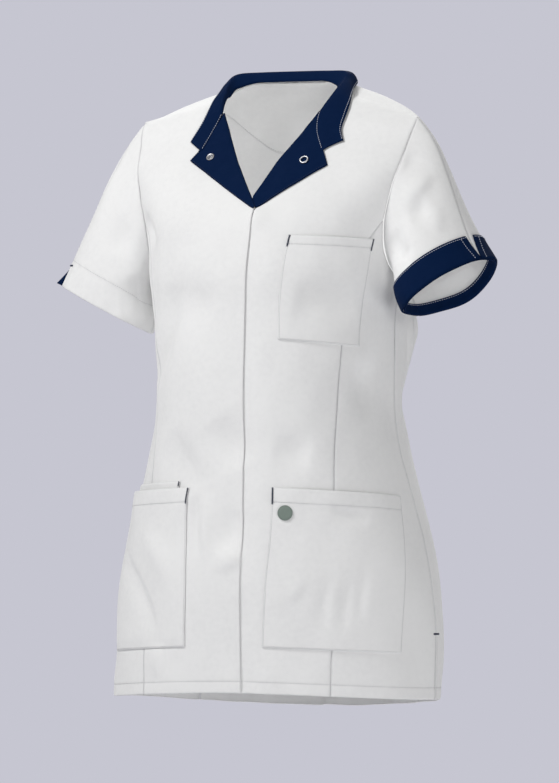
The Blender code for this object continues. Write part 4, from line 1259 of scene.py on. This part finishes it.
def lay_side_panel(face, word, side, width, top, slit_line):
    """A side panel with its hem and slit sewn down."""
    form = body_form(face, side, princess(face, True), side_edge(face))
    slit = run_of(form, [slit_line] * 5, np.linspace(SLIT_TOP, HEM, 5), THREAD_RISE)
    sewing = stitched(f"hem_stitches_{face}_{word}_side", [hem_run(form), slit])
    edges = {"seams": ("left", "right", "top"), "folds": ("foot",)}
    lay_panel(f"{face}_{word}_side", form, width, top, sewing, **edges)


class TUNIC_OT_fronts(bpy.types.Operator):
    """Lay the four front panels, with hem and slit stitching"""

    bl_idname = "tunic.fronts"
    bl_label = "Fronts"

    def execute(self, context):
        for word, side, front_edge, start in (
            ("right", -1, right_front_edge, 0.0),
            ("left", 1, left_front_edge, 0.32),
        ):
            form = front_form(side, front_edge)
            sewing = stitched(f"hem_stitches_front_{word}", [hem_run(form, start)])
            edges = {"seams": ("right",), "folds": ("left", "foot")}
            lay_panel(f"front_{word}_centre", form, 0.135, RIDGE, sewing, **edges)
            lay_side_panel("front", word, side, 0.120, SEAM_MEETS_ARMHOLE, 0.975)
        return {"FINISHED"}


class TUNIC_OT_back(bpy.types.Operator):
    """Lay the three back panels, with hem and slit stitching"""

    bl_idname = "tunic.back"
    bl_label = "Back"

    def execute(self, context):
        outer = princess("back", False)

        def centre(share, level, out=0.0):
            share, level = match(share, level)
            angle = share * outer(level)
            x = body("back", angle, level)[..., 0]
            held = level - (RIDGE - neck_top(x)) * np.clip((level + 0.05) / 0.024, 0.0, 1.0)
            return on_body("back", angle, held, out)

        sewing = stitched("hem_stitches_back", [hem_run(centre, -1.0, 1.0, 120)])
        edges = {"seams": ("left", "right"), "folds": ("foot",)}
        lay_panel("back_centre", centre, 0.320, RIDGE, sewing, centred=True, **edges)
        tacks = []
        for word, side in (("right", -1), ("left", 1)):
            lay_side_panel("back", word, side, 0.110, BACK_SEAM_TOP, 0.970)
            tacks.append(between(*(on_body(face, side * 86.5, SLIT_TOP, TACK_RISE) for face in SECTIONS)))
        bar_tacks("bar_tacks_slits", tacks)
        return {"FINISHED"}


def sleeve_form(sleeve, half, opening=0.0, drift=0.0):
    """Half of a sleeve; opening is how far its slit stands open at the foot, and drift is how far
    the over-arm seam wanders forward."""
    steps = np.linspace(0, 1, 9)
    lengths = [sleeve.round_it(down) for down in steps]

    def form(share, down, out=0.0):
        share, down = match(share, down)
        round_it = np.interp(down, steps, lengths)
        slit = opening * np.clip((down - 1 + RIGHT_SLIT_SHARE) / RIGHT_SLIT_SHARE, 0, 1)
        over = (SEAM_GAP / 2 + slit) / round_it
        under = SEAM_GAP / 2 / round_it
        seam = drift * ease(0.02, 0.40, down)
        front, back = (over + seam, 0.5 - under), (0.5 + under, 1 - over + seam)
        return sleeve.place(lerp(*(front if half == "front" else back), share), down, out)

    return form


def cuff_form(half, lift):
    """Half of the cuff, u round it and v from its upper edge (0) to the sleeve's end (1)."""

    def form(share, v, out=0.0):
        share, v = match(share, v)
        gap = (SEAM_GAP / 2 + CUFF_SLIT_HALF * (1 - v)) / LEFT_SLEEVE.round_it(1.0)
        turn = lerp(gap, 0.5, share) if half == "front" else lerp(0.5, 1 - gap, share)
        return LEFT_SLEEVE.place(turn, LEFT_SLEEVE.down_at(turn, (1 - v) * CUFF_WIDTH), out + lift)

    return form


def inner_form(sleeve, width):
    """A band inside a sleeve, v from its upper edge (0) to the sleeve's end (1)."""

    def form(share, v, out=0.0):
        share, v = match(share, v)
        turn = 0.5005 + 0.999 * share
        return sleeve.place(turn, sleeve.down_at(turn, (1 - v) * width), out - LAYER_GAP - sizes().cloth)

    return form


def slit_wedge(share, v, out=0.0):
    """The navy cloth that shows in the right sleeve's slit, v from the slit's top to its foot."""
    share, v = match(share, v)
    turn = lerp(0.030, lerp(0.046, 0.058, v), share)
    flare = 0.0078 * v * ease(1.0, 0.4, share)
    down = 1 - RIGHT_SLIT_SHARE * (1 - v * 0.995)
    return RIGHT_SLEEVE.place(turn, down, out + flare - LAYER_GAP - sizes().cloth)


class TUNIC_OT_sleeves(bpy.types.Operator):
    """Lay both sleeves, with the right one's hem stitching and slit tack"""

    bl_idname = "tunic.sleeves"
    bl_label = "Sleeves"

    def execute(self, context):
        size = sizes()
        columns = cloth_lines(0.170)
        rows = cloth_lines(0.230)
        right_rows = cloth_lines(0.225, (0.225 - size.sleeve_hem,))
        for half, opening, ends in (
            ("front", RIGHT_SLIT_FRONT, (0.03, 1.0)),
            ("back", RIGHT_SLIT_BACK, (0.0, 0.97)),
        ):
            form = sleeve_form(LEFT_SLEEVE, half)
            lay_cloth(f"sleeve_left_{half}", form, columns, rows * 0.97, seams=("left", "right", "foot"))
            form = sleeve_form(RIGHT_SLEEVE, half, opening, RIGHT_DRIFT)
            hem = [run_along_hem(form, ends, size.sleeve_hem, THREAD_RISE)]
            sewing = stitched(f"hem_stitches_sleeve_{half}", hem)
            lay_cloth(
                f"sleeve_right_{half}", form, columns, right_rows, [sewing],
                seams=("left", "right", "foot"), folds=("top",), sewn=(("top", size.sleeve_hem, 0.0005),),
            )
        top = 1 - RIGHT_SLIT_SHARE
        ends = ((0.038, top), (0.076, top - 0.018))
        bar_tacks("bar_tack_sleeve", [between(*(RIGHT_SLEEVE.place(*end, 0.0008) for end in ends))])
        columns, rows = lines(0.024, 0.002), lines(0.026, 0.002)
        wedge = cloth_shell("slit_under_right", slit_wedge, columns, rows, finish_of("navy twill"))
        hand_over(wedge, "trim_cloth")
        columns, rows = cloth_lines(0.360), cloth_lines(HEM_BAND)
        form = inner_form(RIGHT_SLEEVE, HEM_BAND)
        lay_cloth("hem_facing_right", form, columns, rows, [wedge], "navy twill", folds=("foot", "top"))
        return {"FINISHED"}


class TUNIC_OT_cuff(bpy.types.Operator):
    """Lay the left sleeve's turned-up cuff, with its pale stitching"""

    bl_idname = "tunic.cuff"
    bl_label = "Turned-up cuff"

    def execute(self, context):
        size = sizes()
        line = 0.0024 / CUFF_WIDTH
        for half, near, ends in (("front", 0.050, (0.004, 1.0)), ("back", 0.950, (0.0, 0.996))):
            form = cuff_form(half, 2 * LAYER_GAP + size.cloth)
            runs = [
                run_of(form, ends, (line, line), PALE_RISE),
                run_of(form, (near, near), (line, 0.98), PALE_RISE, 20),
            ]
            sewing = stitched(f"cuff_stitches_{half}", runs, "pale thread")
            lay_cloth(
                f"cuff_left_{half}", form, cloth_lines(0.180), cloth_lines(CUFF_WIDTH), [sewing],
                "navy twill", folds=("left", "right", "foot"), wraps=(("top", EDGE_WRAP),),
            )
        form = inner_form(LEFT_SLEEVE, INNER_BAND)
        line = 0.0020 / INNER_BAND
        runs = [inside_run(form, (0.0, 1.0), (line, line), PALE_RISE)]
        sewing = stitched("cuff_stitches_inner", runs, "pale thread")
        lay_cloth(
            "cuff_left_inner", form, cloth_lines(0.340), lines(INNER_BAND, 0.003), [sewing],
            "navy twill", wraps=(("top", -EDGE_WRAP),),
        )
        return {"FINISHED"}


class TUNIC_OT_collar(bpy.types.Operator):
    """Lay the notched collar, with its pale edge stitching"""

    bl_idname = "tunic.collar"
    bl_label = "Collar"

    def execute(self, context):
        end = 0.985
        runs = [run_of(collar_form, (-end, end), (0.935, 0.935), PALE_RISE, 200)]
        for side in (-1, 1):
            runs.append(run_of(collar_form, (side * end, side * 0.722), (0.045, 0.045), PALE_RISE, 40))
        sewing = stitched("collar_stitches", runs, "pale thread")
        parts = [np.linspace(*part) for part in ((0, 0.28, 6), (0.28, 0.52, 13), (0.52, 0.95, 12))]
        rows = np.unique(np.concatenate([*parts, [0.97, 0.985, 1.0]]))
        lay_cloth(
            "collar", collar_form, lines(0.420, 0.0040) * 2 - 1, rows, [sewing],
            "navy twill", folds=("left", "right", "top"),
        )
        return {"FINISHED"}


class TUNIC_OT_lapels(bpy.types.Operator):
    """Lay both lapels, with the navy stitching along their edges"""

    bl_idname = "tunic.lapels"
    bl_label = "Lapels"

    def execute(self, context):
        size = sizes()
        rows = np.unique(np.concatenate([cloth_lines(0.115), [NOTCH_SHARE]]))
        for word, side, points in (("right", -1, RIGHT_LAPEL), ("left", 1, LEFT_LAPEL)):
            form = lapel_form(side, points, size.cloth)
            edge = run_of(form, (0.965, 0.965), (0.02, 0.97), THREAD_RISE)
            sewing = stitched(f"lapel_stitches_{word}", [edge], "navy thread", "trim_cloth")
            lay_cloth(
                f"lapel_{word}", form, cloth_lines(0.075), rows, [sewing], "navy twill",
                folds=("right", "foot"), wraps=(("left", 0.0022),),
            )
        return {"FINISHED"}


class TUNIC_OT_neck_facing(bpy.types.Operator):
    """Lay the half-moon facing inside the back neck"""

    bl_idname = "tunic.neck_facing"
    bl_label = "Back neck facing"

    def execute(self, context):
        size = sizes()
        form = facing_form(size.cloth)
        sewing = stitched("facing_stitches", [inside_run(form, (-0.96, 0.96), (0.035, 0.035), THREAD_RISE)])
        columns, rows = cloth_lines(0.156) * 2 - 1, cloth_lines(0.10)
        lay_cloth("back_neck_facing", form, columns, rows, [sewing], seams=("foot",))
        return {"FINISHED"}


class TUNIC_OT_pockets(bpy.types.Operator):
    """Lay the four pockets, with hems, edge stitching and bar tacks"""

    bl_idname = "tunic.pockets"
    bl_label = "Pockets"

    def execute(self, context):
        size = sizes()
        pockets = (
            ("chest_pocket", 1, CHEST_POCKET, 0.105, 0.128, size.chest_hem, 0.0145, (0.008, 0.992)),
            ("hip_pocket_left", 1, HIP_POCKET_LEFT, 0.185, 0.195, size.hip_hem, 0.0205, (0.006,)),
            ("inner_pocket_right", -1, INNER_POCKET, 0.130, 0.105, size.chest_hem, 0.0060, (0.006,)),
            ("hip_pocket_right", -1, HIP_POCKET_RIGHT, 0.185, 0.195, size.hip_hem, 0.0195, (0.006,)),
        )
        tacks = []
        for node, side, pocket, width, length, hem, tack, corners in pockets:
            form = pocket_form(side, pocket, size.cloth)
            top = 1 - hem / length
            near, foot = EDGE_INSET / width, EDGE_INSET / length
            far = 1 - near
            paths = (
                ((near, far), (top, top)), ((near, near), (1.0, foot)), ((near, far), (foot, foot)),
                ((far, far), (foot, 1.0)),
            )
            sewing = stitched(f"stitches_{node}", [run_of(form, *path, THREAD_RISE) for path in paths])
            lay_cloth(
                node, form, cloth_lines(width), cloth_lines(length, (length - hem,)), [sewing],
                folds=("left", "right", "foot", "top"), sewn=(("top", hem, HEM_PULL),),
            )
            for corner in corners:
                tacks.append(run_of(form, (corner, corner), (0.998, 1 - tack / length), TACK_RISE, 12))
        bar_tacks("bar_tacks_pockets", tacks)
        return {"FINISHED"}


def circle_points(radius, count):
    around = np.linspace(0, 2 * math.pi, count)
    return radius * np.column_stack([np.cos(around), np.sin(around)])


def standing_on(normal):
    """The turn that stands a piece on a surface."""
    return Vector((0, 0, 1)).rotation_difference(Vector(normal)).to_matrix().to_4x4()


def turned_ring(name, profile, at, normal, finish):
    """A turned piece: a profile of radius and height in millimetres, spun and stood on a place."""
    form = bmesh.new()
    corners = [form.verts.new((radius, 0.0, height)) for radius, height in np.array(profile) / 1000]
    edges = [form.edges.new(pair) for pair in zip(corners, corners[1:])]
    whole = {"steps": 48, "angle": 2 * math.pi, "use_merge": True}
    bmesh.ops.spin(form, geom=corners + edges, axis=(0, 0, 1), cent=(0, 0, 0), **whole)
    bmesh.ops.remove_doubles(form, verts=form.verts, dist=1e-7)
    bmesh.ops.recalc_face_normals(form, faces=form.faces)
    # Places below the surface, the snap cap's groove and hollow, are marked for painted shade
    crevice = form.verts.layers.float.new("crevice")
    for vert in form.verts:
        vert[crevice] = 1.0 if vert.co.z < -0.0002 else 0.0
    bmesh.ops.transform(form, matrix=Matrix.Translation(Vector(at)) @ standing_on(normal), verts=form.verts)
    mesh = finished_mesh(form, name)
    mesh.shade_smooth()
    mesh.set_sharp_from_angle(angle=math.radians(50))
    return add_piece(mesh, finish)


SNAP_X = 0.0628
SNAP_Z_LEFT = -0.0768
SNAP_Z_RIGHT = -0.0705

# The snap cap's profile in millimetres: radius and height
SNAP_CAP = (
    (0, -1.0), (1.2, -0.9), (1.4, 0.75), (1.9, 1.05), (2.4, 0.75), (2.6, -0.4), (3.1, -0.4), (3.3, 1.0),
    (4.1, 1.35), (5.0, 0.6), (5.0, 0), (0, -1.2),
)

# The round tab on the left hip pocket, its profile in millimetres too
TAB_ANGLE = 22.8
TAB_LEVEL = -0.492
TAB_RADIUS = 0.0085
TAB_PROFILE = ((0, 0.8), (6.0, 0.8), (8.0, 0.7), (8.5, 0.3), (8.5, 0), (0, 0))


class TUNIC_OT_snaps(bpy.types.Operator):
    """Set the snap's closed half and its open ring on the lapels"""

    bl_idname = "tunic.snaps"
    bl_label = "Snaps"

    def execute(self, context):
        base = LAPEL_GAP + LAYER_GAP + sizes().cloth + 0.0006
        ring = circle_points(0.9, 17) + (4.6, 0.8)
        for name, node, x, z, profile in (
            ("snap_cap", "snap_stud", -SNAP_X, SNAP_Z_RIGHT, SNAP_CAP),
            ("snap_open_ring", "snap_ring", SNAP_X, SNAP_Z_LEFT, ring),
        ):
            level = level_at("front", x, z)
            place, normal = on_body("front", angle_at("front", x, level), level, base)
            snap = turned_ring(name, profile, place, normal, finish_of("snap metal"))
            hand_over(snap, "snap_metal", node)
        return {"FINISHED"}


class TUNIC_OT_tab(bpy.types.Operator):
    """Set the plain round tab on the left hip pocket, with a whipped edge"""

    bl_idname = "tunic.tab"
    bl_label = "Round tab"

    def execute(self, context):
        size = sizes()
        height = HIP_POCKET_LEFT[3] / 1000 + LAYER_GAP + size.cloth + 0.0010
        place, normal = on_body("front", TAB_ANGLE, TAB_LEVEL, height)
        turn = standing_on(normal).to_3x3()
        circle = circle_points(TAB_RADIUS, 60)
        ring = np.array([place + np.array(turn @ Vector((*point, 0.0004))) for point in circle])
        runs = [(ring, np.broadcast_to(normal, ring.shape))]
        weave = finish_of("tab weave")
        hand_over(sew("tab_edge", runs, weave, 0.0009, 0.0014, across=True), "tab_cloth")
        hand_over(turned_ring("round_tab", TAB_PROFILE, place, normal, weave), "tab_cloth", "pocket_tab")
        return {"FINISHED"}


# The photograph's view: the way to the camera, its distance, what it looks at, and the frame's
# width and shift in pixels
VIEW_AZIMUTH = math.radians(26.0)
VIEW_ELEVATION = math.radians(-0.8)
VIEW_DISTANCE = 9.0
VIEW_TARGET = Vector((0.0, 0.0, -0.35))
FRAME_WIDTH = 559
SHIFT_RIGHT = 1.5
SHIFT_UP = 2.5
SENSOR_WIDTH = 36.0
METRES_PER_PIXEL = 0.00119
FLOOR_LEVEL = -1.75
FLOOR_RADIUS = 11.0
ROOM_LIGHT = 0.21
FLOOR_GLOW = 0.28

# Lamps: how far they stand to the right, up and towards the camera, their width and power
LAMPS = {
    "key lamp": (-2.2, 2.6, 1.2, 1.2, 82.0),
    "front lamp": (1.0, 0.6, 3.1, 1.0, 18.0),
    "low lamp": (2.4, -1.1, 2.0, 1.4, 15.0),
    "back lamp": (0.6, 2.4, -2.6, 2.0, 75.0),
}


def aim(name, data, place, way):
    """Stands a lamp or the camera somewhere, looking this way."""
    obj = add_object(name, data)
    obj.location = place
    obj.rotation_mode = "QUATERNION"
    obj.rotation_quaternion = way.to_track_quat("-Z", "Y")
    return obj


def set_lamp(name, place, toward, width, power):
    light = bpy.data.lights.new(name, "AREA")
    light.shape = "DISK"
    light.size = width
    light.energy = power
    aim(name, light, place, toward - place)


class TUNIC_OT_stage(bpy.types.Operator):
    """Set up the floor, the room's light, the lamps and the camera"""

    bl_idname = "tunic.stage"
    bl_label = "Stage"

    def execute(self, context):
        scene = context.scene
        form = bmesh.new()
        bmesh.ops.create_circle(form, cap_ends=True, segments=96, radius=FLOOR_RADIUS)
        bmesh.ops.translate(form, vec=(0, 0, FLOOR_LEVEL), verts=form.verts)
        paint = Finish("floor paint")
        paint.set(
            Base_Color=(0.78, 0.78, 0.82, 1.0),
            Emission_Color=(0.57, 0.57, 0.57, 1.0),
            Emission_Strength=FLOOR_GLOW,
            Roughness=paint.noise(3.0) * 0.1 + 0.8,
        )
        add_piece(finished_mesh(form, "floor"), paint.material)

        scene.world = bpy.data.worlds.new("room")
        scene.world.use_nodes = True
        room = Nodes(scene.world.node_tree)
        seen, output = (room.tree.nodes[name] for name in ("Background", "World Output"))
        room.give(seen.inputs["Color"], (*scene.tunic_colours.floor, 1.0))
        values = {"Color": (1.0, 1.0, 1.0, 1.0), "Strength": ROOM_LIGHT}
        light = room.node("ShaderNodeBackground", None, values)
        path = room.node("ShaderNodeLightPath")
        values = {0: path.outputs["Is Camera Ray"], 1: light.outputs[0], 2: seen.outputs[0]}
        room.give(output.inputs[0], room.node("ShaderNodeMixShader", None, values).outputs[0])
        scene.view_settings.view_transform = "Standard"

        ahead, aside, level = math.cos(VIEW_AZIMUTH), math.sin(VIEW_AZIMUTH), math.cos(VIEW_ELEVATION)
        right = Vector((ahead, aside, 0.0))
        away = Vector((aside * level, -ahead * level, math.sin(VIEW_ELEVATION)))
        for name, (across, up, near, width, power) in LAMPS.items():
            place = VIEW_TARGET + right * across + Vector((0, 0, up)) + away * near
            set_lamp(name, place, VIEW_TARGET, width, power)
        set_lamp("lamp inside", Vector((0.0, -0.03, -0.23)), Vector((0.0, 0.11, -0.03)), 0.10, 0.115)

        camera = bpy.data.cameras.new("camera")
        camera.sensor_fit = "HORIZONTAL"
        camera.sensor_width = SENSOR_WIDTH
        camera.lens = SENSOR_WIDTH * VIEW_DISTANCE / (FRAME_WIDTH * METRES_PER_PIXEL)
        camera.shift_x = SHIFT_RIGHT / FRAME_WIDTH
        camera.shift_y = SHIFT_UP / FRAME_WIDTH
        camera.clip_end = 100.0
        scene.camera = aim("camera", camera, VIEW_TARGET + away * VIEW_DISTANCE, -away)
        return {"FINISHED"}


STEPS = (
    TUNIC_OT_fronts, TUNIC_OT_back, TUNIC_OT_sleeves, TUNIC_OT_cuff, TUNIC_OT_collar, TUNIC_OT_lapels,
    TUNIC_OT_neck_facing, TUNIC_OT_pockets, TUNIC_OT_snaps, TUNIC_OT_tab, TUNIC_OT_stage,
)


class TUNIC_PT_panel(bpy.types.Panel):
    bl_label = "Medical tunic"
    bl_idname = "TUNIC_PT_panel"
    bl_space_type = "VIEW_3D"
    bl_region_type = "UI"
    bl_category = "Tunic"

    def draw(self, context):
        for group in (context.scene.tunic_sizes, context.scene.tunic_colours):
            box = self.layout.box()
            for key in group.__annotations__:
                box.prop(group, key)
        for step in STEPS:
            self.layout.operator(step.bl_idname)


CLASSES = (TunicSizes, TunicColours, *STEPS, TUNIC_PT_panel)


def register():
    for cls in CLASSES:
        bpy.utils.register_class(cls)
    bpy.types.Scene.tunic_sizes = PointerProperty(type=TunicSizes)
    bpy.types.Scene.tunic_colours = PointerProperty(type=TunicColours)


def unregister():
    del bpy.types.Scene.tunic_sizes
    del bpy.types.Scene.tunic_colours
    for cls in reversed(CLASSES):
        bpy.utils.unregister_class(cls)


def main():
    register()
    for step in STEPS:
        group, name = step.bl_idname.split(".")
        getattr(getattr(bpy.ops, group), name)()


if __name__ == "__main__":
    main()
